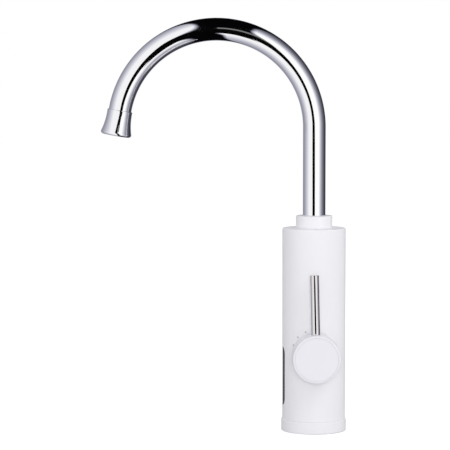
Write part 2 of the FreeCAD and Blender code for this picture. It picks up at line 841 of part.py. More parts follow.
def make_spigot_ring():
    """The ring seal between the spigot and the tank base."""
    radius = (spigot_diameter - spigot_seal_section) / 2 + fit_gap
    middle = spigot_top - spigot_seal_drop - (spigot_seal_section + fit_gap) / 2
    seal = torus(radius, spigot_seal_section - 2 * seat_gap, middle)
    seal.translate(Vector(0, -spigot_offset, 0))
    return seal


def make_reed_switch():
    """The reed switch in its pod, on a clip round the spigot."""
    low = tank_base_low - tank_base_gap + clear_gap
    high = tank_base_low - probe_head_height - clear_gap
    inner = spigot_diameter / 2 + seat_gap
    clip = ring(inner + reed_clip_wall, inner, low, high, 0, -spigot_offset)
    pod_y = -spigot_offset - inner - reed_diameter / 2
    pod_start = Vector(-reed_length / 2, pod_y, low + clear_gap + reed_diameter / 2)
    pod = bar_x(reed_diameter / 2, pod_start, reed_length)
    spigot_room = rod(inner, tank_base_low - tank_base_gap, tank_base_low, 0, -spigot_offset)
    return joined([clip, pod.cut(spigot_room)])


# Heater tank

def tank_screw_places():
    """Where the tank's screws stand."""
    return around(tank_screw_count, tank_screw_first_angle, tank_flange_radius - tank_screw_inset)


def element_places():
    """Where the two legs of the heating element stand."""
    leg_radius = math.hypot(element_coil_radius, element_leg_offset())
    places = [(leg_radius, element_leg_angle), (element_return_radius, element_return_angle)]
    return [(radius * math.cos(math.radians(angle)), radius * math.sin(math.radians(angle)))
            for radius, angle in places]


def element_rise():
    """The climb of the element's coil, as an angle."""
    return math.atan2(element_pitch, 2 * math.pi * element_coil_radius)


def element_leg_offset():
    """How far behind the start of the coil its leg stands."""
    return element_bend * (1 - math.sin(element_rise()))


def make_tank_base():
    """The plate that closes the tank below, with a plug, a socket and holes for what passes through."""
    flange = rod(tank_flange_radius, tank_base_low, tank_base_top)
    plate = joined([flange, rod(tank_bore_radius - fit_gap, tank_base_top, plug_top)])
    groove_middle = (tank_base_top + plug_top) / 2
    half_groove = tank_seal_section / 2 + fit_gap
    groove = ring(tank_bore_radius + overcut, tank_bore_radius - tank_seal_section,
                  groove_middle - half_groove, groove_middle + half_groove)
    low = tank_base_low - overcut
    high = plug_top + overcut
    stud_end = tank_base_low + cutout_stud_length + clear_gap
    cuts = [groove, rod(spigot_diameter / 2 + fit_gap, low, spigot_top + clear_gap, 0, -spigot_offset),
            rod(spigot_port / 2, low, high, 0, -spigot_offset),
            rod(cutout_stud / 2 + seat_gap, low, stud_end, cutout_x, cutout_y),
            rod(probe_diameter / 2 + seat_gap, low, high, probe_x, probe_y)]
    cuts += [rod(element_tube / 2 + fit_gap, low, high, x, y) for x, y in element_places()]
    cuts += [rod(tank_screw_shank / 2 + fit_gap, low, high, x, y) for x, y in tank_screw_places()]
    return plate.cut(cuts)


def make_tank_seal():
    """The ring seal round the plug of the tank base."""
    radius = tank_bore_radius - tank_seal_section / 2
    return torus(radius, tank_seal_section - 2 * seat_gap, (tank_base_top + plug_top) / 2)


def make_heater_tank():
    """The tank: a flanged cup upside down, drawn in to a shoulder under the roof and a neck through it."""
    shoulder = tank_shoulder_diameter / 2
    taper_top = tank_straight_top + tank_taper
    inner_top = shell_roof_low - neck_depth
    outside = turned([(0, tank_base_top), (tank_flange_radius, tank_base_top),
                      (tank_flange_radius, tank_base_top + tank_flange_thickness),
                      (tank_outer_radius, tank_base_top + tank_flange_thickness),
                      (tank_outer_radius, tank_straight_top), (shoulder, taper_top),
                      (shoulder, shell_roof_low), (neck_radius, shell_roof_low), (neck_radius, neck_top),
                      (0, neck_top)])
    inside = turned([(0, tank_base_top), (tank_bore_radius, tank_base_top),
                     (tank_bore_radius, tank_straight_top - tank_wall), (neck_bore_radius, inner_top),
                     (neck_bore_radius, neck_top), (0, neck_top)])
    hole_end = tank_base_top + tank_screw_bite + clear_gap
    holes = [rod(tank_screw_shank / 2 + seat_gap, tank_base_top, hole_end, x, y)
             for x, y in tank_screw_places()]
    return outside.cut([inside] + holes)


def make_tank_screws():
    """The screws that hold the tank base to the tank's flange."""
    screws = []
    for x, y in tank_screw_places():
        head = rod(tank_screw_head / 2, tank_base_low - tank_screw_head_height, tank_base_low, x, y)
        shank = rod(tank_screw_shank / 2, tank_base_low, tank_base_top + tank_screw_bite, x, y)
        screws.append(head.fuse(shank))
    return Part.makeCompound(screws)


def tangent_arc(start, corner, end):
    """The arc from start to end whose tangents there meet at the corner."""
    middle = (start + end) * 0.5
    turn = (corner - start).getAngle(end - corner)
    sagitta = start.distanceToPoint(middle) * math.tan(turn / 4)
    way = (corner - middle).normalize()
    return Part.Arc(start, middle + way * sagitta, end).toShape()


def biarc(start, start_way, end, end_way):
    """Two arcs that leave start along its way, meet smoothly and come to end along its way."""
    gap = end - start
    ways = start_way + end_way
    square = ways.dot(ways) - 4
    straight = gap.dot(ways)
    reach = (straight - math.sqrt(straight ** 2 - square * gap.dot(gap))) / square
    first = start + start_way * reach
    second = end - end_way * reach
    meeting = (first + second) * 0.5
    return [tangent_arc(start, first, meeting), tangent_arc(meeting, second, end)]


def element_path():
    """The element's centre line: a leg, the coil on half-turn biarcs, a hook inward and the return leg."""
    (leg_x, leg_y), (back_x, back_y) = element_places()
    radius = element_coil_radius
    rise = element_rise()
    start_angle = math.radians(element_leg_angle) + math.atan2(element_leg_offset(), radius)
    low = tank_base_low - element_tail
    leg_top = plug_top + element_leg_height
    coil_low = leg_top + element_bend * math.cos(rise)

    def coil_point(half_turns):
        angle = start_angle + math.pi * half_turns
        height = coil_low + element_pitch * half_turns / 2
        return Vector(radius * math.cos(angle), radius * math.sin(angle), height)

    def coil_way(half_turns):
        angle = start_angle + math.pi * half_turns
        level = math.cos(rise)
        return Vector(-math.sin(angle) * level, math.cos(angle) * level, math.sin(rise))

    up = Vector(0, 0, 1)
    leg_end = Vector(leg_x, leg_y, leg_top)
    edges = [Part.LineSegment(Vector(leg_x, leg_y, low), leg_end).toShape()]
    edges += biarc(leg_end, up, coil_point(0), coil_way(0))
    halves = 2 * element_turns
    for half in range(halves):
        edges += biarc(coil_point(half), coil_way(half), coil_point(half + 1), coil_way(half + 1))
    hook_end = Vector(back_x, back_y, coil_point(halves).z - element_bend / 2)
    edges += biarc(coil_point(halves), coil_way(halves), hook_end, -up)
    edges.append(Part.LineSegment(hook_end, Vector(back_x, back_y, low)).toShape())
    return Part.Wire(edges)


def least_gap(path, section):
    """The least gap of a tube to itself, measured on points along its centre line."""
    points = path.discretize(Distance=section / 4)
    skip = 2 * 4
    near = min(first.distanceToPoint(second) for place, first in enumerate(points)
               for second in points[place + skip:])
    return near - section


def make_heating_element():
    """The sheathed heating element, one unbroken tube."""
    path = element_path()
    start = path.Edges[0].Vertexes[0].Point
    section = Part.Wire(Part.makeCircle(element_tube / 2, start, Vector(0, 0, 1)))
    pipe = Part.BRepOffsetAPI.MakePipeShell(path)
    pipe.add(section)
    pipe.build()
    pipe.makeSolid()
    tube = pipe.shape()
    expected = math.pi * element_tube ** 2 / 4 * path.Length
    print("heating element: least gap %.2f mm, volume %.4f of section times length"
          % (least_gap(path, element_tube), tube.Volume / expected))
    return tube


def make_element_nuts():
    """The nuts that clamp the element's legs under the tank base."""
    low = tank_base_low - element_nut_height
    nuts = []
    for x, y in element_places():
        hole = rod(element_tube / 2 + seat_gap, low - overcut, tank_base_low + overcut, x, y)
        nuts.append(hexagon(element_nut_flats, low, tank_base_low, x, y).cut(hole))
    return Part.makeCompound(nuts)


def make_thermal_cutout():
    """The button thermostat under the tank base, on its stud, with two tabs."""
    flange_low = tank_base_low - cutout_flange_thickness
    half_thick = cutout_tab_thickness / 2
    tabs = [block((cutout_x + side * cutout_tab_spread / 2 - half_thick,
                   cutout_x + side * cutout_tab_spread / 2 + half_thick),
                  (cutout_y - cutout_tab_width / 2, cutout_y + cutout_tab_width / 2),
                  (cutout_low, cutout_body_low)) for side in (-1, 1)]
    body = rod(cutout_diameter / 2 - cutout_flange_thickness / 2, cutout_body_low, flange_low,
               cutout_x, cutout_y)
    flange = rod(cutout_diameter / 2, flange_low, tank_base_low, cutout_x, cutout_y)
    stud = rod(cutout_stud / 2, tank_base_low, tank_base_low + cutout_stud_length, cutout_x, cutout_y)
    return joined([body, flange, stud] + tabs)


def make_temperature_probe():
    """The probe that reaches through the tank base into the water, with a hexagon head below."""
    radius = probe_diameter / 2
    tip_centre = plug_top + probe_reach - radius
    head = hexagon(probe_head_flats, tank_base_low - probe_head_height, tank_base_low, probe_x, probe_y)
    stem = rod(radius, tank_base_low, tip_centre, probe_x, probe_y)
    tip = Part.makeSphere(radius, Vector(probe_x, probe_y, tip_centre))
    return joined([head, stem, tip])


# Collar and spout

def make_spout_collar():
    """The white ring nut that clamps the tank's neck to the roof and keeps the spout in."""
    radius = collar_diameter / 2
    collar = rod(radius, body_top, collar_top)
    collar = collar.makeFillet(collar_edge, round_edges(collar, radius, collar_top))
    return collar.cut([rod(neck_radius + fit_gap, body_top - overcut, collar_lip_low),
                       rod(tube_radius + moving_gap, body_top, collar_top + overcut)])


def make_slip_washer():
    """The slippery washer between the spout's flange and the collar."""
    inner = tube_radius + moving_gap
    return ring(inner + slip_washer_wall, inner, washer_low, collar_lip_low)


tail_low = tail_flange_low - tail_length
tube_inner_radius = tube_radius - tube_wall
tail_seal_heights = [tail_low + tail_seal_first + place * tail_seal_pitch for place in range(2)]
tail_seal_radius = neck_bore_radius - tail_seal_gap - tail_seal_section / 2


def make_spout_tail():
    """The brass end of the spout, which turns in the neck on two ring seals."""
    plug_radius = tube_inner_radius - seat_gap
    flange_radius = tail_radius + tail_flange
    plug_end = tail_flange_top + tail_plug_length
    tail = turned([(tail_bore / 2, tail_low), (tail_radius, tail_low), (tail_radius, tail_flange_low),
                   (flange_radius, tail_flange_low), (flange_radius, tail_flange_top),
                   (plug_radius, tail_flange_top), (plug_radius, plug_end), (tail_bore / 2, plug_end)])
    half_groove = tail_seal_section / 2 + fit_gap
    grooves = [ring(tail_radius + overcut, tail_seal_radius - tail_seal_section / 2 - seat_gap,
                    height - half_groove, height + half_groove) for height in tail_seal_heights]
    return tail.cut(grooves)


def make_spout_rings():
    """The two ring seals on the spout's tail."""
    seals = [torus(tail_seal_radius, tail_seal_section, height) for height in tail_seal_heights]
    return Part.makeCompound(seals)


def spout_bar(radius, overrun):
    """A round bar along the spout: upright, bent over and straight into the nozzle."""
    section = Part.Face(Part.Wire(Part.makeCircle(radius, Vector(0, 0, bend_start), Vector(0, 0, 1))))
    bend = section.revolve(Vector(-bend_radius, 0, bend_start), Vector(0, -1, 0), bend_sweep)
    upright = rod(radius, tail_flange_top - overrun, bend_start)
    return joined([upright, bend, on_outlet(rod(radius, 0, tube_grip + overrun))])


def make_spout_tube():
    """The chromed tube of the spout."""
    return spout_bar(tube_radius, 0).cut(spout_bar(tube_inner_radius, overcut))


def make_nozzle():
    """The chromed bell at the end of the spout, with a concave flare and a rounded lip."""
    top = nozzle_top_diameter / 2
    mouth = nozzle_mouth_diameter / 2
    lip_start = nozzle_length - nozzle_lip
    bore = aerator_diameter / 2 + fit_gap
    socket = tube_radius + seat_gap
    step_end = tube_grip + nozzle_step

    def at(radius, along):
        return Vector(radius, 0, along)

    lip_half = nozzle_lip / math.sqrt(2)
    lip_middle = at(mouth - nozzle_lip + lip_half, lip_start + lip_half)
    waist = at(nozzle_waist_diameter / 2, nozzle_waist_at)
    flare = Part.Arc(at(top, nozzle_edge), waist, at(mouth, lip_start))
    lip = Part.Arc(at(mouth, lip_start), lip_middle, at(mouth - nozzle_lip, nozzle_length))
    straight = [at(mouth - nozzle_lip, nozzle_length), at(bore, nozzle_length), at(bore, step_end),
                at(tube_inner_radius, step_end), at(tube_inner_radius, tube_grip), at(socket, tube_grip),
                at(socket, 0), at(top - nozzle_edge, 0), at(top, nozzle_edge)]
    edges = [flare.toShape(), lip.toShape()] + Part.makePolygon(straight).Edges
    return on_outlet(turned_from(edges))


aerator_low = tube_grip + nozzle_step + aerator_washer_thickness


def make_aerator_washer():
    """The rubber washer above the aerator."""
    washer = ring(aerator_diameter / 2, aerator_washer_hole / 2, tube_grip + nozzle_step, aerator_low)
    return on_outlet(washer)


def make_aerator_insert():
    """The aerator: a cup with a perforated plate across it."""
    radius = aerator_diameter / 2
    high = aerator_low + aerator_height
    plate_low = aerator_low + aerator_plate_depth
    cup = ring(radius, radius - aerator_wall, aerator_low, high)
    plate = rod(radius - aerator_wall / 2, plate_low, plate_low + aerator_plate)
    holes = hole_grid(aerator_hole, aerator_hole_pitch, aerator_rings, plate_low - overcut,
                      plate_low + aerator_plate + overcut)
    return on_outlet(joined([cup, plate]).cut(holes))


makers = [make_body_shell, make_base_cap, make_base_gasket, make_base_screws, make_cord_gland,
          make_terminal_block, make_display_lens, make_display_board, make_digit_module, make_valve_body,
          make_valve_screws, make_inlet_filter, make_cartridge_seal, make_fixed_disc, make_cartridge_body,
          make_moving_disc, make_spindle, make_spindle_ring, make_knob, make_knob_cover, make_knob_screw,
          make_lever_pin, make_flow_piston, make_piston_magnet, make_spigot_ring, make_reed_switch,
          make_tank_base, make_tank_seal, make_heater_tank, make_tank_screws, make_heating_element,
          make_element_nuts, make_thermal_cutout, make_temperature_probe, make_spout_collar, make_slip_washer,
          make_spout_tail, make_spout_rings, make_spout_tube, make_nozzle, make_aerator_washer,
          make_aerator_insert]

os.makedirs("parts", exist_ok=True)
for maker in makers:
    node = maker.__name__[len("make_"):]
    maker().exportStep("parts/" + node + ".step")
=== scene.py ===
"""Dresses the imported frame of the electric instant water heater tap. All lengths are in metres."""

import json
import logging
import math
from dataclasses import dataclass, field
from enum import Enum
from typing import Any, Mapping, Optional, Sequence, Union

import bmesh
import bpy
from mathutils import Matrix, Vector


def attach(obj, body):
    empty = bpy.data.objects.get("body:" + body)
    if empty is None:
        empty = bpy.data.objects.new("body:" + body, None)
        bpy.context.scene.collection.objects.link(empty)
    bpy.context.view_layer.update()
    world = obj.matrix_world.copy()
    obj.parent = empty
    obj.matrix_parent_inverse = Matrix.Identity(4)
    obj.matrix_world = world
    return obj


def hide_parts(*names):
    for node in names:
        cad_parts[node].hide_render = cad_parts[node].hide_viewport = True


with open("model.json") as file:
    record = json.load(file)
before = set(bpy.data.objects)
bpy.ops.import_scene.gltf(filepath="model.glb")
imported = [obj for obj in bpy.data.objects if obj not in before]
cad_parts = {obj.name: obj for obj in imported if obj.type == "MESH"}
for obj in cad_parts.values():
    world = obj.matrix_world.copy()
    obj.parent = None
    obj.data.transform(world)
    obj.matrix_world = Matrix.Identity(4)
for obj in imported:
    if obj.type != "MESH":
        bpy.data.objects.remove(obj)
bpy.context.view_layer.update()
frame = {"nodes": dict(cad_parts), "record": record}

LOG = logging.getLogger("tap")
MM = 0.001
SIDES = 192
ARC_STEPS = 6
SHARP_EDGE = math.radians(32)
MERGE_DISTANCE = 0.0005 * MM
UPRIGHT = Matrix.Identity(4)

Number = Union[float, "Wire"]
Triple = tuple[float, float, float]
Colour = Triple
Point = tuple[float, float]


# Node trees

class Wire:
    """An output socket that takes part in Python expressions, each of which adds a Math node."""

    def __init__(self, graph: "Graph", socket: bpy.types.NodeSocket) -> None:
        """Keeps the socket with the graph that it belongs to."""
        self.graph = graph
        self.socket = socket

    def out(self, name: str) -> "Wire":
        """Another output of the same node."""
        return Wire(self.graph, self.graph.find(self.socket.node.outputs, name))

    def axes(self) -> tuple["Wire", "Wire", "Wire"]:
        """The three parts of a vector."""
        parts = self.graph.node("ShaderNodeSeparateXYZ", {}, {"Vector": self})
        return parts, parts.out("Y"), parts.out("Z")

    def math(self, operation: str, *others: Number) -> "Wire":
        """This value and others through a Math node."""
        return self.graph.math(operation, self, *others)

    def __add__(self, other: Number) -> "Wire":
        """The sum."""
        return self.math("ADD", other)

    __radd__ = __add__

    def __sub__(self, other: Number) -> "Wire":
        """The difference."""
        return self.math("SUBTRACT", other)

    def __rsub__(self, other: Number) -> "Wire":
        """The difference with this value taken away."""
        return self.graph.math("SUBTRACT", other, self)

    def __mul__(self, other: Number) -> "Wire":
        """The product."""
        return self.math("MULTIPLY", other)

    __rmul__ = __mul__

    def __truediv__(self, other: Number) -> "Wire":
        """The quotient."""
        return self.math("DIVIDE", other)

    def __rtruediv__(self, other: Number) -> "Wire":
        """The quotient with this value below."""
        return self.graph.math("DIVIDE", other, self)

    def __lt__(self, other: Number) -> "Wire":
        """One where this value is the smaller, else zero."""
        return self.math("LESS_THAN", other)

    def __gt__(self, other: Number) -> "Wire":
        """One where this value is the larger, else zero."""
        return self.math("GREATER_THAN", other)

    def __abs__(self) -> "Wire":
        """The value without its sign."""
        return self.math("ABSOLUTE")


class Graph:
    """A node tree that is built one node at a time."""

    def __init__(self, tree: bpy.types.NodeTree) -> None:
        """Keeps the tree."""
        self.tree = tree

    def find(self, sockets: Sequence[bpy.types.NodeSocket], key: Union[int, str]) -> bpy.types.NodeSocket:
        """Finds a socket that is in use.

        Args:
            sockets: a node's inputs or outputs.
            key: the socket's place among them, its identifier or its name.

        Returns:
            The socket.
        """
        if isinstance(key, int):
            return sockets[key]
        return next(one for one in sockets if one.enabled and key in (one.identifier, one.name))

    def feed(self, socket: bpy.types.NodeSocket, value: Any) -> None:
        """Links a wire to a socket, or sets the socket's own value.

        Args:
            socket: the input socket.
            value: a wire, a number, a colour or a material.
        """
        if isinstance(value, Wire):
            self.tree.links.new(value.socket, socket)
        else:
            socket.default_value = value

    def node(self, kind: str, settings: Optional[Mapping[str, Any]] = None,
             sockets: Optional[Mapping[Union[int, str], Any]] = None) -> Wire:
        """Adds a node.

        Args:
            kind: the node's type.
            settings: its own settings, which are set first.
            sockets: values or wires for its inputs, by place, identifier or name.

        Returns:
            The node's first output that is in use.
        """
        made = self.tree.nodes.new(kind)
        for name, value in (settings or {}).items():
            setattr(made, name, value)
        for key, value in (sockets or {}).items():
            self.feed(self.find(made.inputs, key), value)
        return Wire(self, next(one for one in made.outputs if one.enabled))

    def math(self, operation: str, *values: Number) -> Wire:
        """A Math node on values or wires."""
        return self.node("ShaderNodeMath", {"operation": operation}, dict(enumerate(values)))

    def step(self, value: Wire, low: float, high: float) -> Wire:
        """A smooth step from 0 at one value to 1 at another.

        Args:
            value: what is measured.
            low: where the step starts.
            high: where it ends.

        Returns:
            The share, from 0 to 1.
        """
        sockets = {"Value": value, "From Min": low, "From Max": high}
        return self.node("ShaderNodeMapRange", {"interpolation_type": "SMOOTHSTEP"}, sockets)

    def blend(self, share: Wire, first: Any, second: Any) -> Wire:
        """Mixes two colours.

        Args:
            share: how much of the second, from 0 to 1.
            first: a colour or a wire.
            second: a colour or a wire.

        Returns:
            The mixed colour.
        """
        sockets = {"Factor": share, "A": as_colour(first), "B": as_colour(second)}
        return self.node("ShaderNodeMix", {"data_type": "RGBA"}, sockets)


def as_colour(value: Any) -> Any:
    """Adds the fourth number that a colour socket takes, and leaves a wire alone."""
    return value if isinstance(value, Wire) else (*value, 1.0)


class Surface(Graph):
    """A material with one Principled shader, whose patterns lie on Object coordinates."""

    def __init__(self, name: str) -> None:
        """Starts a new material.

        Args:
            name: the material's name.
        """
        self.material = bpy.data.materials.new(name)
        self.material.use_nodes = True
        super().__init__(self.material.node_tree)
        self.shader = self.tree.nodes["Principled BSDF"]
        self.place = self.node("ShaderNodeTexCoord").out("Object")

    def paint(self, values: Mapping[str, Any]) -> None:
        """Sets the shader's sockets, by name."""
        for name, value in values.items():
            self.feed(self.shader.inputs[name], value)

    def noise(self, scale: float, detail: float, stretch: Triple = (1.0, 1.0, 1.0)) -> Wire:
        """Soft noise, from 0 to 1.

        Args:
            scale: how many patches fit in a metre.
            detail: how many finer layers it has.
            stretch: scale along each axis; a small number draws the patches out along it.

        Returns:
            The noise.
        """
        place = self.node("ShaderNodeMapping", {}, {"Vector": self.place, "Scale": stretch})
        return self.node("ShaderNodeTexNoise", {}, {"Vector": place, "Scale": scale, "Detail": detail})

    def bump(self, height: Wire, strength: float, depth: float) -> Wire:
        """A normal that is tilted by a height.

        Args:
            height: the height, from 0 to 1.
            strength: how much of it shows.
            depth: the height's size.

        Returns:
            The normal.
        """
        sockets = {"Strength": strength, "Distance": depth, "Height": height}
        return self.node("ShaderNodeBump", {}, sockets)


class GeometryTree(Graph):
    """A Geometry Nodes tree with named inputs for its sizes."""

    def __init__(self, name: str) -> None:
        """Starts a new tree that gives a mesh.

        Args:
            name: the tree's name.
        """
        super().__init__(bpy.data.node_groups.new(name, "GeometryNodeTree"))
        self.tree.interface.new_socket("Geometry", in_out="OUTPUT", socket_type="NodeSocketGeometry")
        self.given = self.tree.nodes.new("NodeGroupInput")
        self.values: dict[str, Union[int, float]] = {}

    def size(self, name: str, value: Union[int, float]) -> Wire:
        """Adds a named input.

        Args:
            name: what the size is.
            value: its value, whole for a count.

        Returns:
            The input as a wire.
        """
        kind = "NodeSocketInt" if isinstance(value, int) else "NodeSocketFloat"
        item = self.tree.interface.new_socket(name, in_out="INPUT", socket_type=kind)
        self.values[item.identifier] = value
        return Wire(self, self.find(self.given.outputs, item.identifier))

    def vector(self, x: Number, y: Number, z: Number) -> Wire:
        """A vector from its three parts."""
        return self.node("ShaderNodeCombineXYZ", {}, {"X": x, "Y": y, "Z": z})

    def grow(self, name: str, geometry: Wire, finish: "Finish") -> bpy.types.Object:
        """Ends the tree and keeps what it makes as a plain mesh.

        Args:
            name: the piece's name.
            geometry: what the tree has made.
            finish: the finish that it is given.

        Returns:
            The piece.
        """
        whole = self.node("GeometryNodeRealizeInstances", {}, {"Geometry": geometry})
        sockets = {"Geometry": whole, "Material": finish.material()}
        painted = self.node("GeometryNodeSetMaterial", {}, sockets)
        result = self.tree.nodes.new("NodeGroupOutput")
        self.tree.links.new(painted.socket, result.inputs[0])
        piece = new_piece(name, bpy.data.meshes.new(name))
        modifier = piece.modifiers.new("grow", "NODES")
        modifier.node_group = self.tree
        for identifier, value in self.values.items():
            modifier[identifier] = value
        return settle(piece)


# Finishes

@dataclass(frozen=True)
class Finish:
    """A finish, with its colour and how rough it is."""

    name: str
    colour: Colour
    roughness: float

    def material(self) -> bpy.types.Material:
        """Makes the finish's material when it is first asked for.

        Returns:
            The material.
        """
        found = bpy.data.materials.get(self.name)
        if found is None:
            surface = Surface(self.name)
            self.dress(surface)
            found = surface.material
        return found

    def dress(self, surface: Surface) -> None:
        """Sets up the material.

        Args:
            surface: the new material.
        """
        raise NotImplementedError

    def shaded(self, change: float) -> Colour:
        """The colour, made lighter or darker by a share of itself."""
        return tuple(min(part * (1.0 + change), 1.0) for part in self.colour)

    def toned(self, surface: Surface, share: Wire, darker: float, lighter: float) -> Wire:
        """The colour as it runs from a darker shade to a lighter one."""
        return surface.blend(share, self.shaded(-darker), self.shaded(lighter))

    def uneven(self, noise: Wire, spread: float) -> Wire:
        """The roughness as a noise makes it uneven."""
        return self.roughness + (noise - 0.5) * spread


@dataclass(frozen=True)
class Moulding(Finish):
    """Moulded plastic: faint flow marks in its tone and gloss, and the fine skin of the mould."""

    tone: float = 0.012
    specular: float = 0.5

    def dress(self, surface: Surface) -> None:
        """Sets up the material.

        Args:
            surface: the new material.
        """
        flow = surface.noise(scale=26.0, detail=3.0, stretch=(1.0, 1.0, 0.4))
        skin = surface.noise(scale=620.0, detail=1.0)
        surface.paint({
            "Base Color": self.toned(surface, flow, darker=self.tone, lighter=self.tone),
            "Roughness": self.uneven(flow, spread=0.08),
            "Normal": surface.bump(skin, strength=0.35, depth=0.012 * MM),
            "Specular IOR Level": self.specular,
        })


@dataclass(frozen=True)
class Chrome(Finish):
    """Polished plating: a faint haze over it, and the slight waviness of the metal beneath."""

    haze: float = 0.03

    def dress(self, surface: Surface) -> None:
        """Sets up the material.

        Args:
            surface: the new material.
        """
        haze = surface.noise(scale=110.0, detail=5.0)
        wave = surface.noise(scale=70.0, detail=1.0)
        surface.paint({
            "Base Color": self.toned(surface, haze, darker=0.015, lighter=0.015),
            "Metallic": 1.0,
            "Roughness": self.roughness + haze * self.haze,
            "Normal": surface.bump(wave, strength=0.5, depth=0.006 * MM),
        })


class Lines(Enum):
    """How the tool marks of a worked metal run, as the stretch of its noise."""

    ALONG_X = (0.03, 1.0, 1.0)
    ALONG_Y = (1.0, 0.03, 1.0)
    ALONG_Z = (1.0, 1.0, 0.03)
    ROUND_Z = (0.06, 0.06, 1.0)


@dataclass(frozen=True)
class WorkedMetal(Finish):
    """Turned, drawn or brushed metal, with fine marks that run one way."""

    lines: Lines = Lines.ROUND_Z

    def dress(self, surface: Surface) -> None:
        """Sets up the material.

        Args:
            surface: the new material.
        """
        marks = surface.noise(scale=1900.0, detail=3.0, stretch=self.lines.value)
        tarnish = surface.noise(scale=60.0, detail=4.0)
        surface.paint({
            "Base Color": self.toned(surface, tarnish, darker=0.1, lighter=0.1),
            "Metallic": 1.0,
            "Roughness": self.uneven(marks, spread=0.2),
            "Normal": surface.bump(marks, strength=0.3, depth=0.02 * MM),
        })


@dataclass(frozen=True)
class Rubber(Finish):
    """Soft black rubber with a dusty grain."""

    def dress(self, surface: Surface) -> None:
        """Sets up the material.

        Args:
            surface: the new material.
        """
        dust = surface.noise(scale=240.0, detail=5.0)
        dusty = surface.step(dust, low=0.45, high=0.8)
        grain = surface.noise(scale=2600.0, detail=2.0)
        surface.paint({
            "Base Color": self.toned(surface, dusty, darker=0.0, lighter=0.8),
            "Roughness": self.uneven(dust, spread=0.15),
            "Normal": surface.bump(grain, strength=0.4, depth=0.03 * MM),
            "Specular IOR Level": 0.3,
        })


@dataclass(frozen=True)
class Ceramic(Finish):
    """Lapped ceramic: pale, dense and very slightly speckled."""

    def dress(self, surface: Surface) -> None:
        """Sets up the material.

        Args:
            surface: the new material.
        """
        speckle = surface.step(surface.noise(scale=1500.0, detail=3.0), low=0.35, high=0.7)
        lapping = surface.noise(scale=3200.0, detail=1.0)
        surface.paint({
            "Base Color": self.toned(surface, speckle, darker=0.06, lighter=0.03),
            "Roughness": self.uneven(lapping, spread=0.1),
            "Normal": surface.bump(lapping, strength=0.15, depth=0.005 * MM),
        })


@dataclass(frozen=True)
class CircuitBoard(Finish):
    """A lacquered circuit board, with copper tracks that show through its lacquer."""

    track: Colour = (0.10, 0.42, 0.20)
    rows_per_metre: float = 260.0
    weave_scale: float = 2200.0
    weave_gloss: float = 0.03
    weave_height: float = 0.1

    def dress(self, surface: Surface) -> None:
        """Sets up the material.

        Args:
            surface: the new material.
        """
        _, along, up = surface.place.axes()
        rows = abs((up * self.rows_per_metre).math("FRACT") - 0.5)
        gaps = surface.noise(scale=120.0, detail=0.0, stretch=(0.2, 0.2, 1.0))
        tracks = surface.step(rows, low=0.2, high=0.27) * surface.step(gaps, low=0.46, high=0.5)
        weave = (along * self.weave_scale).math("SINE") * (up * self.weave_scale).math("SINE")
        surface.paint({
            "Base Color": surface.blend(tracks, self.colour, self.track),
            "Roughness": self.roughness + weave * self.weave_gloss,
            "Normal": surface.bump(tracks + weave * self.weave_height, strength=0.4, depth=0.03 * MM),
        })


@dataclass(frozen=True)
class SmokedPane(Finish):
    """The tinted window: near black, with the unlit segments of two digits just showing through."""

    digit_height: float = 15.0 * MM
    digit_width: float = 7.2 * MM
    digit_pitch: float = 10.4 * MM
    digit_centre: float = 59.3 * MM
    segment: float = 1.3 * MM
    ghost: Colour = (0.034, 0.034, 0.04)
    haze: float = 0.04
    specular: float = 0.35

    def dress(self, surface: Surface) -> None:
        """Sets up the material.

        Args:
            surface: the new material.
        """
        _, along, up = surface.place.axes()
        across = abs(abs(along) - self.digit_pitch / 2)
        rise = abs(up - self.digit_centre)
        half_width = (self.digit_width - self.segment) / 2
        half_height = (self.digit_height - self.segment) / 2
        thick = self.segment / 2
        uprights = abs(across - half_width) < thick
        upright_ends = abs(rise - half_height / 2) < half_height / 2 - thick
        bars = (rise < thick).math("MAXIMUM", abs(rise - half_height) < thick)
        bar_ends = across < half_width - thick
        segments = (uprights * upright_ends).math("MAXIMUM", bars * bar_ends)
        cloud = surface.noise(scale=80.0, detail=4.0)
        wave = surface.noise(scale=60.0, detail=1.0)
        surface.paint({
            "Base Color": surface.blend(segments, self.colour, self.ghost),
            "Roughness": self.roughness + cloud * self.haze,
            "Normal": surface.bump(wave, strength=0.2, depth=0.004 * MM),
            "Specular IOR Level": self.specular,
        })


@dataclass(frozen=True)
class PrintedInk(Finish):
    """Pad-printed ink, a little uneven where it met the moulding."""

    def dress(self, surface: Surface) -> None:
        """Sets up the material.

        Args:
            surface: the new material.
        """
        cover = surface.noise(scale=2400.0, detail=3.0)
        surface.paint({
            "Base Color": self.toned(surface, cover, darker=0.08, lighter=0.08),
            "Roughness": self.uneven(cover, spread=0.1),
            "Normal": surface.bump(cover, strength=0.2, depth=0.005 * MM),
        })


BODY_COLOUR: Colour = (0.86, 0.853, 0.885)
WHITE = Moulding("white_moulding", BODY_COLOUR, 0.42, specular=0.35)
KNOB_WHITE = Moulding("knob_moulding", (0.815, 0.808, 0.853), 0.36, specular=0.4)
COLLAR_WHITE = Moulding("collar_moulding", BODY_COLOUR, 0.36, specular=0.4)
PLATING = Chrome("bright_plating", (0.95, 0.95, 0.955), 0.025)
LEVER_STEEL = Chrome("polished_steel", (0.86, 0.83, 0.82), 0.06, haze=0.05)
PANE = SmokedPane("smoked_pane", (0.012, 0.012, 0.015), 0.08)
GREY_INK = PrintedInk("grey_ink", (0.53, 0.53, 0.56), 0.5)
MESH_GREY = Moulding("aerator_moulding", (0.55, 0.56, 0.58), 0.45)


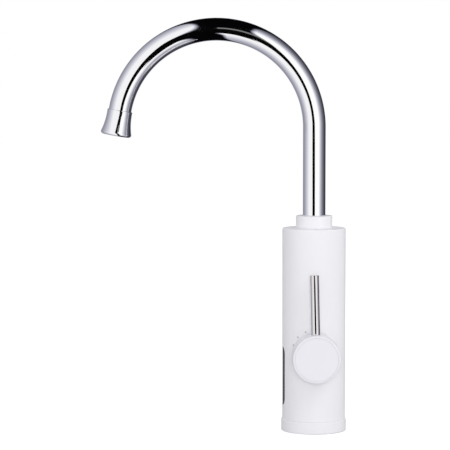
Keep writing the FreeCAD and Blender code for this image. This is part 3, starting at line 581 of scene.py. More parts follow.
class Slot(Enum):
    """The record's material slots."""

    WHITE_PLASTIC = "white_plastic"
    KNOB_PLASTIC = "knob_plastic"
    CHROME = "chrome"
    DARK_WINDOW = "dark_window"
    RUBBER = "rubber"
    BRASS = "brass"
    STAINLESS = "stainless"
    SCREW_STEEL = "screw_steel"
    CERAMIC = "ceramic"
    BOARD = "board"
    DIGITS = "digits"
    BLACK_PLASTIC = "black_plastic"
    GREY_PLASTIC = "grey_plastic"
    NATURAL_PLASTIC = "natural_plastic"
    MAGNET = "magnet"


# Meshes

@dataclass(frozen=True)
class Corner:
    """A corner of a half section: its distance from the axis, its height and its rounding."""

    radius: float
    height: float
    rounding: float = 0.0

    @property
    def spot(self) -> Vector:
        """The corner as a point of the half section."""
        return Vector((self.radius, self.height))


def rounded(corners: Sequence[Corner]) -> list[Point]:
    """Draws a closed half section with its corners rounded.

    Args:
        corners: the corners in order round the section.

    Returns:
        The section's points.
    """
    points: list[Point] = []
    for place, corner in enumerate(corners):
        if not corner.rounding:
            points.append((corner.radius, corner.height))
            continue
        back = (corners[place - 1].spot - corner.spot).normalized()
        ahead = (corners[(place + 1) % len(corners)].spot - corner.spot).normalized()
        half = back.angle(ahead) / 2
        centre = corner.spot + (back + ahead).normalized() * (corner.rounding / math.sin(half))
        first = corner.spot + back * (corner.rounding / math.tan(half)) - centre
        turn = first.angle_signed(corner.spot + ahead * (corner.rounding / math.tan(half)) - centre)
        for step in range(ARC_STEPS + 1):
            spoke = first.copy()
            spoke.rotate(Matrix.Rotation(-turn * step / ARC_STEPS, 2))
            points.append(tuple(centre + spoke))
    return points


def arc_through(first: Point, middle: Point, last: Point, steps: int) -> list[Point]:
    """Draws an arc through three points.

    Args:
        first: where it starts.
        middle: a point on its way.
        last: where it ends.
        steps: how many runs it is drawn with.

    Returns:
        Its points, with both ends.
    """
    a, b, c = Vector(first), Vector(middle), Vector(last)
    double = 2 * ((b - a).x * (c - a).y - (b - a).y * (c - a).x)
    side_b = (b - a).length_squared
    side_c = (c - a).length_squared
    centre = a + Vector((
        (c - a).y * side_b - (b - a).y * side_c,
        (b - a).x * side_c - (c - a).x * side_b,
    )) / double
    start = math.atan2(a.y - centre.y, a.x - centre.x)
    sweep = math.remainder(math.atan2(c.y - centre.y, c.x - centre.x) - start, 2 * math.pi)
    reach = (a - centre).length
    angles = [start + sweep * step / steps for step in range(steps + 1)]
    return [(centre.x + reach * math.cos(angle), centre.y + reach * math.sin(angle)) for angle in angles]


def new_piece(name: str, mesh: bpy.types.Mesh) -> bpy.types.Object:
    """Puts a mesh in the scene as an object at the origin.

    Args:
        name: the object's name.
        mesh: the mesh.

    Returns:
        The object.
    """
    piece = bpy.data.objects.new(name, mesh)
    bpy.context.scene.collection.objects.link(piece)
    return piece


def from_bmesh(name: str, shape: bmesh.types.BMesh, place: Matrix) -> bpy.types.Object:
    """Makes a piece of a finished shape.

    Args:
        name: the piece's name.
        shape: the shape, which is used up.
        place: where it goes in the frame.

    Returns:
        The piece, with its place in its mesh.
    """
    bmesh.ops.remove_doubles(shape, verts=shape.verts, dist=MERGE_DISTANCE)
    bmesh.ops.recalc_face_normals(shape, faces=shape.faces)
    mesh = bpy.data.meshes.new(name)
    shape.to_mesh(mesh)
    shape.free()
    mesh.transform(place)
    return new_piece(name, mesh)


def join_rings(shape: bmesh.types.BMesh, rings: Sequence[Sequence[bmesh.types.BMVert]], closed: bool) -> None:
    """Joins neighbouring rings of corners with faces.

    Args:
        shape: the shape that they belong to.
        rings: the rings, each with the same number of corners.
        closed: whether the last ring joins the first.
    """
    pairs = list(zip(rings, rings[1:]))
    if closed:
        pairs.append((rings[-1], rings[0]))
    for ring, following in pairs:
        for place in range(len(ring)):
            ahead = (place + 1) % len(ring)
            shape.faces.new((ring[place], ring[ahead], following[ahead], following[place]))


def turned(name: str, section: Sequence[Point], place: Matrix = UPRIGHT,
           sides: int = SIDES) -> bpy.types.Object:
    """Turns a closed half section about its axis.

    Args:
        name: the piece's name.
        section: its points, as distance from the axis and height.
        place: where it goes in the frame.
        sides: how many sides the round has.

    Returns:
        The piece.
    """
    shape = bmesh.new()
    angles = [math.tau * side / sides for side in range(sides)]
    spokes = [(math.cos(angle), math.sin(angle)) for angle in angles]
    rings = [[shape.verts.new((radius * x, radius * y, height)) for x, y in spokes]
             for radius, height in section]
    join_rings(shape, rings, True)
    return from_bmesh(name, shape, place)


def prism(name: str, outline: Sequence[Point], near: float, far: float) -> bpy.types.Object:
    """Makes a straight-sided block along X.

    Args:
        name: the block's name.
        outline: its outline, as Y and Z.
        near: where it starts along X.
        far: where it ends.

    Returns:
        The block.
    """
    shape = bmesh.new()
    ends = [[shape.verts.new((x, y, z)) for y, z in outline] for x in (near, far)]
    join_rings(shape, ends, False)
    for end in ends:
        shape.faces.new(end)
    return from_bmesh(name, shape, UPRIGHT)


def settle(piece: bpy.types.Object) -> bpy.types.Object:
    """Turns a piece's modifiers into plain mesh.

    Args:
        piece: the piece.

    Returns:
        The same piece, with no modifiers.
    """
    graph = bpy.context.evaluated_depsgraph_get()
    mesh = bpy.data.meshes.new_from_object(
        piece.evaluated_get(graph), preserve_all_data_layers=True, depsgraph=graph)
    worn = piece.data
    piece.modifiers.clear()
    piece.data = mesh
    bpy.data.meshes.remove(worn)
    mesh.name = piece.name
    return piece


class Joining(Enum):
    """What a second shape does to the first."""

    ADD = "UNION"
    CUT = "DIFFERENCE"


def combine(piece: bpy.types.Object, tool: bpy.types.Object, joining: Joining) -> None:
    """Adds a second shape to a piece, or cuts it away.

    Args:
        piece: the piece.
        tool: the second shape, which is used up.
        joining: what it does.
    """
    modifier = piece.modifiers.new("shape", "BOOLEAN")
    modifier.operation = joining.value
    modifier.solver = "EXACT"
    modifier.object = tool
    settle(piece)
    bpy.data.objects.remove(tool)


def drill(piece: bpy.types.Object, radius: float, near: float, far: float, place: Matrix = UPRIGHT) -> None:
    """Cuts a round hole in a piece.

    Args:
        piece: the piece.
        radius: the hole's radius.
        near: where it starts along its axis.
        far: where it ends.
        place: its axis in the frame.
    """
    bit = turned("bit", [(0.0, near), (radius, near), (radius, far), (0.0, far)], place)
    combine(piece, bit, Joining.CUT)


def smooth(piece: bpy.types.Object) -> bpy.types.Object:
    """Shades a piece smooth between its sharp edges.

    Args:
        piece: the piece.

    Returns:
        The same piece.
    """
    piece.data.shade_smooth()
    piece.data.set_sharp_from_angle(angle=SHARP_EDGE)
    modifier = piece.modifiers.new("shade", "WEIGHTED_NORMAL")
    modifier.keep_sharp = True
    return settle(piece)


def body_of(node: str) -> str:
    """The moving body that a CAD node belongs to."""
    return next(body for body, members in frame["record"]["behaviour"]["bodies"].items() if node in members)


def fit(piece: bpy.types.Object, finish: Finish, slot: Slot, node: str, stands_for: bool = True) -> None:
    """Gives a piece its finish, and its place in the frame.

    Args:
        piece: the piece, with its final mesh.
        finish: its finish.
        slot: the record's slot that the finish belongs to; not used.
        node: the CAD node that it stands for, or that carries it.
        stands_for: whether it takes the node's place.
    """
    piece.data.materials.clear()
    piece.data.materials.append(finish.material())
    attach(piece, body_of(node))
    if stands_for:
        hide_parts(node)
    LOG.info("%s: %d faces, on %s", piece.name, len(piece.data.polygons), body_of(node))


# The tap's own pieces

@dataclass(frozen=True)
class Window:
    """The display window's outline, upright on the body's left side."""

    width: float = 20.9 * MM
    height: float = 55.0 * MM
    centre: float = 51.3 * MM
    corner: float = 6.5 * MM

    def outline(self, margin: float, steps: int = 8) -> list[Point]:
        """Draws the outline.

        Args:
            margin: how far inside the opening's edge it lies.
            steps: how many runs each corner and each straight side has.

        Returns:
            Its points, as Y and Z.
        """
        corner = self.corner - margin
        wide = self.width / 2 - self.corner
        tall = self.height / 2 - self.corner
        centres = [Vector((wide, tall)), Vector((-wide, tall)), Vector((-wide, -tall)), Vector((wide, -tall))]
        arcs: list[list[Vector]] = []
        for quarter, centre in enumerate(centres):
            angles = [math.pi / 2 * (quarter + step / steps) for step in range(steps + 1)]
            arcs.append([centre + corner * Vector((math.cos(angle), math.sin(angle))) for angle in angles])
        spots: list[Vector] = []
        for arc, following in zip(arcs, arcs[1:] + arcs[:1]):
            spots += arc
            spots += [arc[-1].lerp(following[0], step / steps) for step in range(1, steps)]
        return [(spot.x, spot.y + self.centre) for spot in spots]


@dataclass
class Body:
    """The white body: a very slightly tapered shell, with a round seat for the knob and a window."""

    low: float = 11.0 * MM
    high: float = 188.0 * MM
    low_radius: float = 29.1 * MM
    high_radius: float = 29.35 * MM
    low_rounding: float = 0.35 * MM
    high_rounding: float = 1.0 * MM
    bore_radius: float = 26.5 * MM
    roof: float = 3.0 * MM
    neck_radius: float = 13.36 * MM
    knob_height: float = 72.6 * MM
    seat_radius: float = 18.0 * MM
    seat_reach: float = 31.5 * MM
    seat_edge: float = 0.4 * MM
    seat_hole_radius: float = 13.3 * MM
    overcut: float = 2.0 * MM
    window: Window = field(default_factory=Window)

    @property
    def taper(self) -> float:
        """How much the radius grows with the height."""
        return (self.high_radius - self.low_radius) / (self.high - self.low)

    def radius_at(self, height: float) -> float:
        """The body's radius at a height."""
        return self.low_radius + (height - self.low) * self.taper

    def knob_place(self) -> Matrix:
        """The knob's axis, which looks towards the user, with its own Z outwards."""
        return Matrix.Translation((0.0, 0.0, self.knob_height)) @ Matrix.Rotation(math.pi / 2, 4, "X")

    def build(self) -> None:
        """Makes the shell and fits it."""
        inside = self.bore_radius / 2
        ceiling = self.high - self.roof
        shell = turned("body_moulding", rounded([
            Corner(0.0, self.low),
            Corner(self.low_radius, self.low, self.low_rounding),
            Corner(self.high_radius, self.high, self.high_rounding),
            Corner(0.0, self.high),
        ]))
        seat = turned("seat", rounded([
            Corner(0.0, inside),
            Corner(self.seat_radius, inside),
            Corner(self.seat_radius, self.seat_reach, self.seat_edge),
            Corner(0.0, self.seat_reach),
        ]), self.knob_place())
        combine(shell, seat, Joining.ADD)
        drill(shell, self.bore_radius, self.low - self.overcut, ceiling)
        drill(shell, self.neck_radius, ceiling - self.overcut, self.high + self.overcut)
        drill(shell, self.seat_hole_radius, inside, self.seat_reach + self.overcut, self.knob_place())
        opening = prism("window", self.window.outline(0.0), -self.high_radius - self.overcut, -inside)
        combine(shell, opening, Joining.CUT)
        fit(smooth(shell), WHITE, Slot.WHITE_PLASTIC, "body_shell")


@dataclass
class Pane:
    """The tinted pane in the window, which follows the body's curve and lies a little below it."""

    body: Body
    gap: float = 0.1 * MM
    sunk: float = 0.2 * MM
    edge: float = 0.3 * MM
    depth: float = 2.4 * MM
    rings: int = 12
    edge_steps: int = 4

    def spot(self, y: float, z: float, drop: float) -> Vector:
        """A point on the pane's curve, or that far below it."""
        radius = self.body.radius_at(z) - self.sunk - drop
        return Vector((-math.sqrt(radius * radius - y * y), y, z))

    def build(self) -> None:
        """Makes the pane from rings that spread from its upright middle line, and fits it."""
        window = self.body.window
        reach = (window.height - window.width) / 2
        shape = bmesh.new()
        face = window.outline(self.gap + self.edge)
        middle = [min(max(z, window.centre - reach), window.centre + reach) for _, z in face]
        rings = []
        for ring in range(self.rings + 1):
            share = ring / self.rings
            rings.append([self.spot(y * share, start + (z - start) * share, 0.0)
                          for (y, z), start in zip(face, middle)])
        for step in range(1, self.edge_steps + 1):
            angle = math.pi / 2 * step / self.edge_steps
            inset = self.gap + self.edge * (1 - math.sin(angle))
            drop = self.edge * (1 - math.cos(angle))
            rings.append([self.spot(y, z, drop) for y, z in window.outline(inset)])
        rings.append([self.spot(y, z, self.depth) for y, z in window.outline(self.gap)])
        corners = [[shape.verts.new(spot) for spot in ring] for ring in rings]
        join_rings(shape, corners, False)
        shape.faces.new(corners[-1])
        pane = from_bmesh("display_pane", shape, UPRIGHT)
        fit(smooth(pane), PANE, Slot.DARK_WINDOW, "display_lens")


@dataclass
class Scale:
    """The grey dots printed beside the knob, on the spout's side, which is the hot one."""

    body: Body
    reach: float = 23.5 * MM
    dots: int = 3
    pitch: float = math.radians(-22.5)
    dot_radius: float = 0.88 * MM
    proud: float = 0.03 * MM
    sunk: float = 0.2 * MM
    sides: int = 28

    def build(self) -> None:
        """Prints the row: flat dots on an arc, wrapped round the body."""
        tree = GeometryTree("hot_dots")
        count = tree.size("Dots", self.dots)
        reach = tree.size("Arc radius", self.reach)
        pitch = tree.size("Pitch", self.pitch)
        dot_radius = tree.size("Dot radius", self.dot_radius)
        depth = tree.size("Depth", self.proud + self.sunk)
        proud = tree.size("Proud", self.proud)
        height = tree.size("Knob height", self.body.knob_height)
        foot = tree.size("Body foot", self.body.low)
        radius = tree.size("Body radius", self.body.low_radius)
        taper = tree.size("Taper", self.body.taper)
        sides = tree.size("Sides", self.sides)
        angle = (tree.node("GeometryNodeInputIndex") + 1.0) * pitch
        flat = tree.vector(angle.math("SINE") * reach, 0.0, height + angle.math("COSINE") * reach)
        points = tree.node("GeometryNodePoints", {}, {"Count": count, "Position": flat})
        dot = tree.node("GeometryNodeMeshCylinder", {}, {
            "Vertices": sides, "Radius": dot_radius, "Depth": depth})
        quarter_turn = (math.pi / 2, 0.0, 0.0)
        row = tree.node("GeometryNodeInstanceOnPoints", {}, {
            "Points": points, "Instance": dot, "Rotation": quarter_turn})
        whole = tree.node("GeometryNodeRealizeInstances", {}, {"Geometry": row})
        across, out, up = tree.node("GeometryNodeInputPosition").axes()
        skin = radius + (up - foot) * taper
        turn = across / skin
        spread = skin + proud - depth / 2.0 - out
        wrapped = tree.vector(spread * turn.math("SINE"), 0.0 - spread * turn.math("COSINE"), up)
        placed = tree.node("GeometryNodeSetPosition", {}, {"Geometry": whole, "Position": wrapped})
        piece = tree.grow("hot_dots", placed, GREY_INK)
        fit(piece, GREY_INK, Slot.WHITE_PLASTIC, "body_shell", stands_for=False)


@dataclass
class KnobAndLever:
    """The knob with its cover disc, and the polished pin that turns it."""

    body: Body
    lean: float = math.radians(1.4)
    radius: float = 21.75 * MM
    back: float = 33.0 * MM
    front: float = 58.0 * MM
    edge: float = 1.0 * MM
    back_edge: float = 0.5 * MM
    wall: float = 3.0 * MM
    wall_edge: float = 0.3 * MM
    web_back: float = 52.0 * MM
    web_edge: float = 0.5 * MM
    recess_radius: float = 19.8 * MM
    recess_edge: float = 0.1 * MM
    cover_radius: float = 19.7 * MM
    cover_depth: float = 2.6 * MM
    cover_inset: float = 0.15 * MM
    cover_edge: float = 0.15 * MM
    pin_radius: float = 4.0 * MM
    pin_hole_radius: float = 4.12 * MM
    pin_out: float = 45.5 * MM
    pin_root: float = 14.0 * MM
    pin_tip: float = 75.8 * MM
    pin_edge: float = 0.6 * MM
    pin_sides: int = 96

    def place(self) -> Matrix:
        """The knob's own frame at rest, with its Y along the pin."""
        return self.body.knob_place() @ Matrix.Rotation(self.lean, 4, "Z")

    def pin_place(self) -> Matrix:
        """The pin's own frame, with its Z along the pin."""
        outwards = Matrix.Translation((0.0, 0.0, self.pin_out))
        return self.place() @ outwards @ Matrix.Rotation(-math.pi / 2, 4, "X")

    def build(self) -> None:
        """Makes the knob, the cover and the pin, and fits them."""
        floor = self.front - self.cover_inset - self.cover_depth
        inner = self.radius - self.wall
        knob = turned("knob_cup", rounded([
            Corner(0.0, self.web_back),
            Corner(inner, self.web_back, self.web_edge),
            Corner(inner, self.back, self.wall_edge),
            Corner(self.radius, self.back, self.back_edge),
            Corner(self.radius, self.front, self.edge),
            Corner(self.recess_radius, self.front, self.recess_edge),
            Corner(self.recess_radius, floor),
            Corner(0.0, floor),
        ]), self.place())
        drill(knob, self.pin_hole_radius, self.pin_root, self.radius + self.wall, self.pin_place())
        fit(smooth(knob), KNOB_WHITE, Slot.KNOB_PLASTIC, "knob")
        cover = turned("cover_disc", rounded([
            Corner(0.0, floor),
            Corner(self.cover_radius, floor),
            Corner(self.cover_radius, floor + self.cover_depth, self.cover_edge),
            Corner(0.0, floor + self.cover_depth),
        ]), self.place())
        fit(smooth(cover), KNOB_WHITE, Slot.KNOB_PLASTIC, "knob_cover")
        pin = turned("lever_rod", rounded([
            Corner(0.0, self.pin_root),
            Corner(self.pin_radius, self.pin_root),
            Corner(self.pin_radius, self.pin_tip, self.pin_edge),
            Corner(0.0, self.pin_tip),
        ]), self.pin_place(), self.pin_sides)
        fit(smooth(pin), LEVER_STEEL, Slot.CHROME, "lever_pin")


@dataclass
class Collar:
    """The white collar on the body's roof, which the spout turns in."""

    body: Body
    high: float = 199.4 * MM
    radius: float = 16.85 * MM
    bore_radius: float = 10.8 * MM
    low_edge: float = 0.2 * MM
    high_edge: float = 0.8 * MM
    bore_edge: float = 0.3 * MM

    def build(self) -> None:
        """Makes the collar and fits it."""
        collar = turned("collar_ring", rounded([
            Corner(self.bore_radius, self.body.high),
            Corner(self.radius, self.body.high, self.low_edge),
            Corner(self.radius, self.high, self.high_edge),
            Corner(self.bore_radius, self.high, self.bore_edge),
        ]))
        fit(smooth(collar), COLLAR_WHITE, Slot.WHITE_PLASTIC, "spout_collar")


@dataclass
class Spout:
    """The plated swan neck, its bell nozzle and the aerator in its mouth."""

    foot: float = 195.85 * MM
    bend_start: float = 280.6 * MM
    bend_radius: float = 90.0 * MM
    sweep: float = math.radians(170.0)
    grip: float = 8.0 * MM
    tube_radius: float = 10.498 * MM
    tube_wall: float = 1.0 * MM
    tube_points: int = 260
    tube_sides: int = 112
    top_radius: float = 11.55 * MM
    top_edge: float = 0.5 * MM
    waist: Point = (12.2 * MM, 12.0 * MM)
    flare_steps: int = 28
    mouth_radius: float = 14.246 * MM
    length: float = 23.5 * MM
    lip: float = 2.4 * MM
    lip_steps: int = 8
    bore_radius: float = 11.7 * MM
    bore_end: float = 10.0 * MM
    socket_radius: float = 10.55 * MM
    throat_radius: float = 8.6 * MM
    cup_radius: float = 11.6 * MM
    cup_wall: float = 1.2 * MM
    cup_top: float = 11.5 * MM
    cup_mouth: float = 22.0 * MM
    cup_edge: float = 0.3 * MM
    ledge_edge: float = 0.2 * MM
    comb_low: float = 15.5 * MM
    comb_high: float = 17.5 * MM
    comb_gap: float = 0.15 * MM
    comb_radius: float = 9.6 * MM
    cell: float = 1.9 * MM
    open_share: float = 0.8
    cells_across: int = 13

    def outlet(self) -> Matrix:
        """Finds the end of the bend.

        Returns:
            Its place in the frame, with its own Z along the flow.
        """
        end = Vector((
            self.bend_radius * (math.cos(self.sweep) - 1),
            0.0,
            self.bend_start + self.bend_radius * math.sin(self.sweep),
        ))
        return Matrix.Translation(end) @ Matrix.Rotation(-self.sweep, 4, "Y")

    def build(self) -> None:
        """Makes the tube, the nozzle and the aerator, and fits them."""
        self.bend_tube()
        self.turn_nozzle()
        self.turn_cup()
        self.lay_comb()

    def bend_tube(self) -> None:
        """Bends the tube: a straight leg, one long bend and a short straight end."""
        tree = GeometryTree("swan_neck")
        count = tree.size("Points", self.tube_points)
        sides = tree.size("Sides", self.tube_sides)
        radius = tree.size("Tube radius", self.tube_radius)
        foot = tree.size("Foot height", self.foot)
        leg = tree.size("Straight leg", self.bend_start - self.foot)
        bend = tree.size("Bend radius", self.bend_radius)
        sweep = tree.size("Bend angle", self.sweep)
        grip = tree.size("Straight end", self.grip)
        along = tree.node("GeometryNodeInputIndex") / (count - 1.0) * (leg + bend * sweep + grip)
        rise = along.math("MINIMUM", leg)
        turn = ((along - leg) / bend).math("MAXIMUM", 0.0).math("MINIMUM", sweep)
        rest = (along - leg - bend * sweep).math("MAXIMUM", 0.0)
        x = bend * (turn.math("COSINE") - 1.0) - rest * turn.math("SINE")
        z = foot + rise + bend * turn.math("SINE") + rest * turn.math("COSINE")
        line = tree.node("GeometryNodeResampleCurve", {"mode": "COUNT"}, {
            "Curve": tree.node("GeometryNodeCurvePrimitiveLine"), "Count": count})
        path = tree.node("GeometryNodeSetPosition", {}, {
            "Geometry": line, "Position": tree.vector(x, 0.0, z)})
        ring = tree.node("GeometryNodeCurvePrimitiveCircle", {}, {"Resolution": sides, "Radius": radius})
        tube = tree.node("GeometryNodeCurveToMesh", {}, {"Curve": path, "Profile Curve": ring})
        piece = tree.grow("swan_neck", tube, PLATING)
        shape = bmesh.new()
        shape.from_mesh(piece.data)
        bmesh.ops.recalc_face_normals(shape, faces=shape.faces)
        shape.to_mesh(piece.data)
        shape.free()
        wall = piece.modifiers.new("wall", "SOLIDIFY")
        wall.thickness = self.tube_wall
        wall.offset = -1.0
        fit(smooth(settle(piece)), PLATING, Slot.CHROME, "spout_tube")

    def turn_nozzle(self) -> None:
        """Turns the nozzle: a slim neck that flares to a round lip."""
        lip_start = self.length - self.lip
        mouth = (self.mouth_radius, lip_start)
        # The last corner only gives the top edge its direction, and the flare takes its place.
        section = rounded([
            Corner(self.bore_radius, self.length),
            Corner(self.bore_radius, self.bore_end),
            Corner(self.throat_radius, self.bore_end),
            Corner(self.throat_radius, self.grip),
            Corner(self.socket_radius, self.grip),
            Corner(self.socket_radius, 0.0),
            Corner(self.top_radius, 0.0, self.top_edge),
            Corner(self.top_radius, self.waist[1]),
        ])[:-1]
        section += arc_through((self.top_radius, 2 * self.top_edge), self.waist, mouth, self.flare_steps)
        for step in range(1, self.lip_steps + 1):
            angle = math.pi / 2 * step / self.lip_steps
            section.append((self.mouth_radius - self.lip * (1 - math.cos(angle)),
                            lip_start + self.lip * math.sin(angle)))
        fit(smooth(turned("nozzle_bell", section, self.outlet())), PLATING, Slot.CHROME, "nozzle")

    def turn_cup(self) -> None:
        """Turns the aerator's cup, with a ledge inside."""
        inner = self.cup_radius - self.cup_wall
        cup = turned("aerator_cup", rounded([
            Corner(inner, self.cup_mouth, self.cup_edge),
            Corner(inner, self.comb_high, self.cup_edge),
            Corner(self.throat_radius, self.comb_high, self.ledge_edge),
            Corner(self.throat_radius, self.comb_low),
            Corner(inner, self.comb_low),
            Corner(inner, self.cup_top),
            Corner(self.cup_radius, self.cup_top),
            Corner(self.cup_radius, self.cup_mouth, self.cup_edge),
        ]), self.outlet())
        fit(smooth(cup), MESH_GREY, Slot.GREY_PLASTIC, "aerator_insert")

    def lay_comb(self) -> None:
        """Lays a honeycomb of open cells across the cup."""
        tree = GeometryTree("honeycomb")
        cell = tree.size("Cell", self.cell)
        open_share = tree.size("Open share", self.open_share)
        radius = tree.size("Radius", self.comb_radius)
        depth = tree.size("Depth", self.comb_high - self.comb_low - 2 * self.comb_gap)
        across = tree.size("Cells across", self.cells_across)
        row = cell * (math.sqrt(3.0) / 2)
        steps = across - 1.0
        grid = tree.node("GeometryNodeMeshGrid", {}, {
            "Size X": cell * steps, "Size Y": row * steps, "Vertices X": across, "Vertices Y": across})
        x, y, _ = tree.node("GeometryNodeInputPosition").axes()
        odd = (y / row).math("ROUND").math("FLOORED_MODULO", 2.0)
        shifted = tree.node("GeometryNodeSetPosition", {}, {
            "Geometry": grid, "Offset": tree.vector(odd * cell / 2.0, 0.0, 0.0)})
        spread = (x * x + y * y).math("SQRT")
        kept = tree.node("GeometryNodeDeleteGeometry", {"domain": "POINT"}, {
            "Geometry": shifted, "Selection": spread > radius})
        tile = tree.node("GeometryNodeMeshCircle", {"fill_type": "NGON"}, {
            "Vertices": 6, "Radius": cell / math.sqrt(3.0)})
        tile = tree.node("GeometryNodeTransform", {}, {"Geometry": tile, "Rotation": (0.0, 0.0, math.pi / 6)})
        rim = tree.node("GeometryNodeExtrudeMesh", {"mode": "FACES"}, {"Mesh": tile, "Offset Scale": 0.0})
        narrowed = tree.node("GeometryNodeScaleElements", {"domain": "FACE"}, {
            "Geometry": rim, "Selection": rim.out("Top"), "Scale": open_share})
        well = tree.node("GeometryNodeExtrudeMesh", {"mode": "FACES"}, {
            "Mesh": narrowed, "Selection": rim.out("Top"), "Offset": (0.0, 0.0, -1.0), "Offset Scale": depth})
        open_cell = tree.node("GeometryNodeDeleteGeometry", {"domain": "FACE"}, {
            "Geometry": well, "Selection": well.out("Top")})
        cells = tree.node("GeometryNodeInstanceOnPoints", {}, {"Points": kept, "Instance": open_cell})
        comb = tree.grow("aerator_comb", cells, MESH_GREY)
        comb.data.transform(self.outlet() @ Matrix.Translation((0.0, 0.0, self.comb_high - self.comb_gap)))
        fit(comb, MESH_GREY, Slot.GREY_PLASTIC, "aerator_insert", stands_for=False)


@dataclass
class Innards:
    """The pieces that keep their CAD meshes, each with the finish of its slot."""

    finishes: Mapping[Slot, Finish] = field(default_factory=lambda: {
        Slot.WHITE_PLASTIC: WHITE,
        Slot.KNOB_PLASTIC: KNOB_WHITE,
        Slot.CHROME: PLATING,
        Slot.DARK_WINDOW: PANE,
        Slot.RUBBER: Rubber("black_rubber", (0.028, 0.028, 0.03), 0.75),
        Slot.BRASS: WorkedMetal("turned_brass", (0.72, 0.50, 0.22), 0.3, Lines.ROUND_Z),
        Slot.STAINLESS: WorkedMetal("drawn_stainless", (0.60, 0.60, 0.62), 0.28, Lines.ALONG_Z),
        Slot.SCREW_STEEL: WorkedMetal("plated_steel", (0.66, 0.66, 0.69), 0.32, Lines.ALONG_Y),
        Slot.CERAMIC: Ceramic("lapped_ceramic", (0.84, 0.81, 0.76), 0.22),
        Slot.BOARD: CircuitBoard("lacquered_board", (0.018, 0.11, 0.045), 0.35),
        Slot.DIGITS: Moulding("digit_block", (0.03, 0.03, 0.033), 0.4),
        Slot.BLACK_PLASTIC: Moulding("black_moulding", (0.024, 0.024, 0.026), 0.45, tone=0.1),
        Slot.GREY_PLASTIC: Moulding("grey_moulding", (0.27, 0.28, 0.30), 0.5, tone=0.06),
        Slot.NATURAL_PLASTIC: Moulding("natural_moulding", (0.72, 0.72, 0.67), 0.42, tone=0.03),
        Slot.MAGNET: WorkedMetal("plated_magnet", (0.22, 0.22, 0.24), 0.4, Lines.ALONG_X),
    })

    def dress(self) -> None:
        """Gives every CAD node a finish."""
        for name, thing in frame["nodes"].items():
            for holder in thing.material_slots:
                holder.material = self.finishes[Slot(holder.material.name)].material()
            LOG.info("%s: CAD mesh, on %s", name, body_of(name))


# The studio

@dataclass(frozen=True)
class SoftLamp:
    """A square soft lamp. It lights the tap, and metal doesn't mirror it."""

    name: str
    place: Triple
    side: float
    power: float
    aim: Triple = (-0.03, 0.0, 0.18)

    def build(self) -> None:
        """Hangs the lamp and points it."""
        lamp = bpy.data.lights.new(self.name, "AREA")
        lamp.size = self.side
        lamp.energy = self.power
        hung = bpy.data.objects.new(self.name, lamp)
        hung.location = self.place
        hung.visible_glossy = False
        hung.rotation_euler = (Vector(self.aim) - Vector(self.place)).to_track_quat("-Z", "Y").to_euler()
        bpy.context.scene.collection.objects.link(hung)


@dataclass(frozen=True)
class Keys:
    """Values that are given at a few places and run evenly between them."""

    stops: Sequence[tuple[float, ...]]

    def at(self, place: float) -> list[float]:
        """The values at a place.

        Args:
            place: the place, from the first to the last that is given.

        Returns:
            The values there.
        """
        first, second = next(pair for pair in zip(self.stops, self.stops[1:]) if place <= pair[1][0])
        share = (place - first[0]) / (second[0] - first[0])
        return [a + share * (b - a) for a, b in zip(first[1:], second[1:])]


@dataclass(frozen=True)
class Cloth:
    """A side of the tent: as bright as its front up to a depth, and dimmer and dimmer behind that."""

    front: float
    start: float
    fall: float

    def tone(self, depth: float) -> float:
        """The brightness at a depth, from -1 at the front of the tent to 1 at its back."""
        return self.front * math.exp(-self.fall * max(depth - self.start, 0.0))


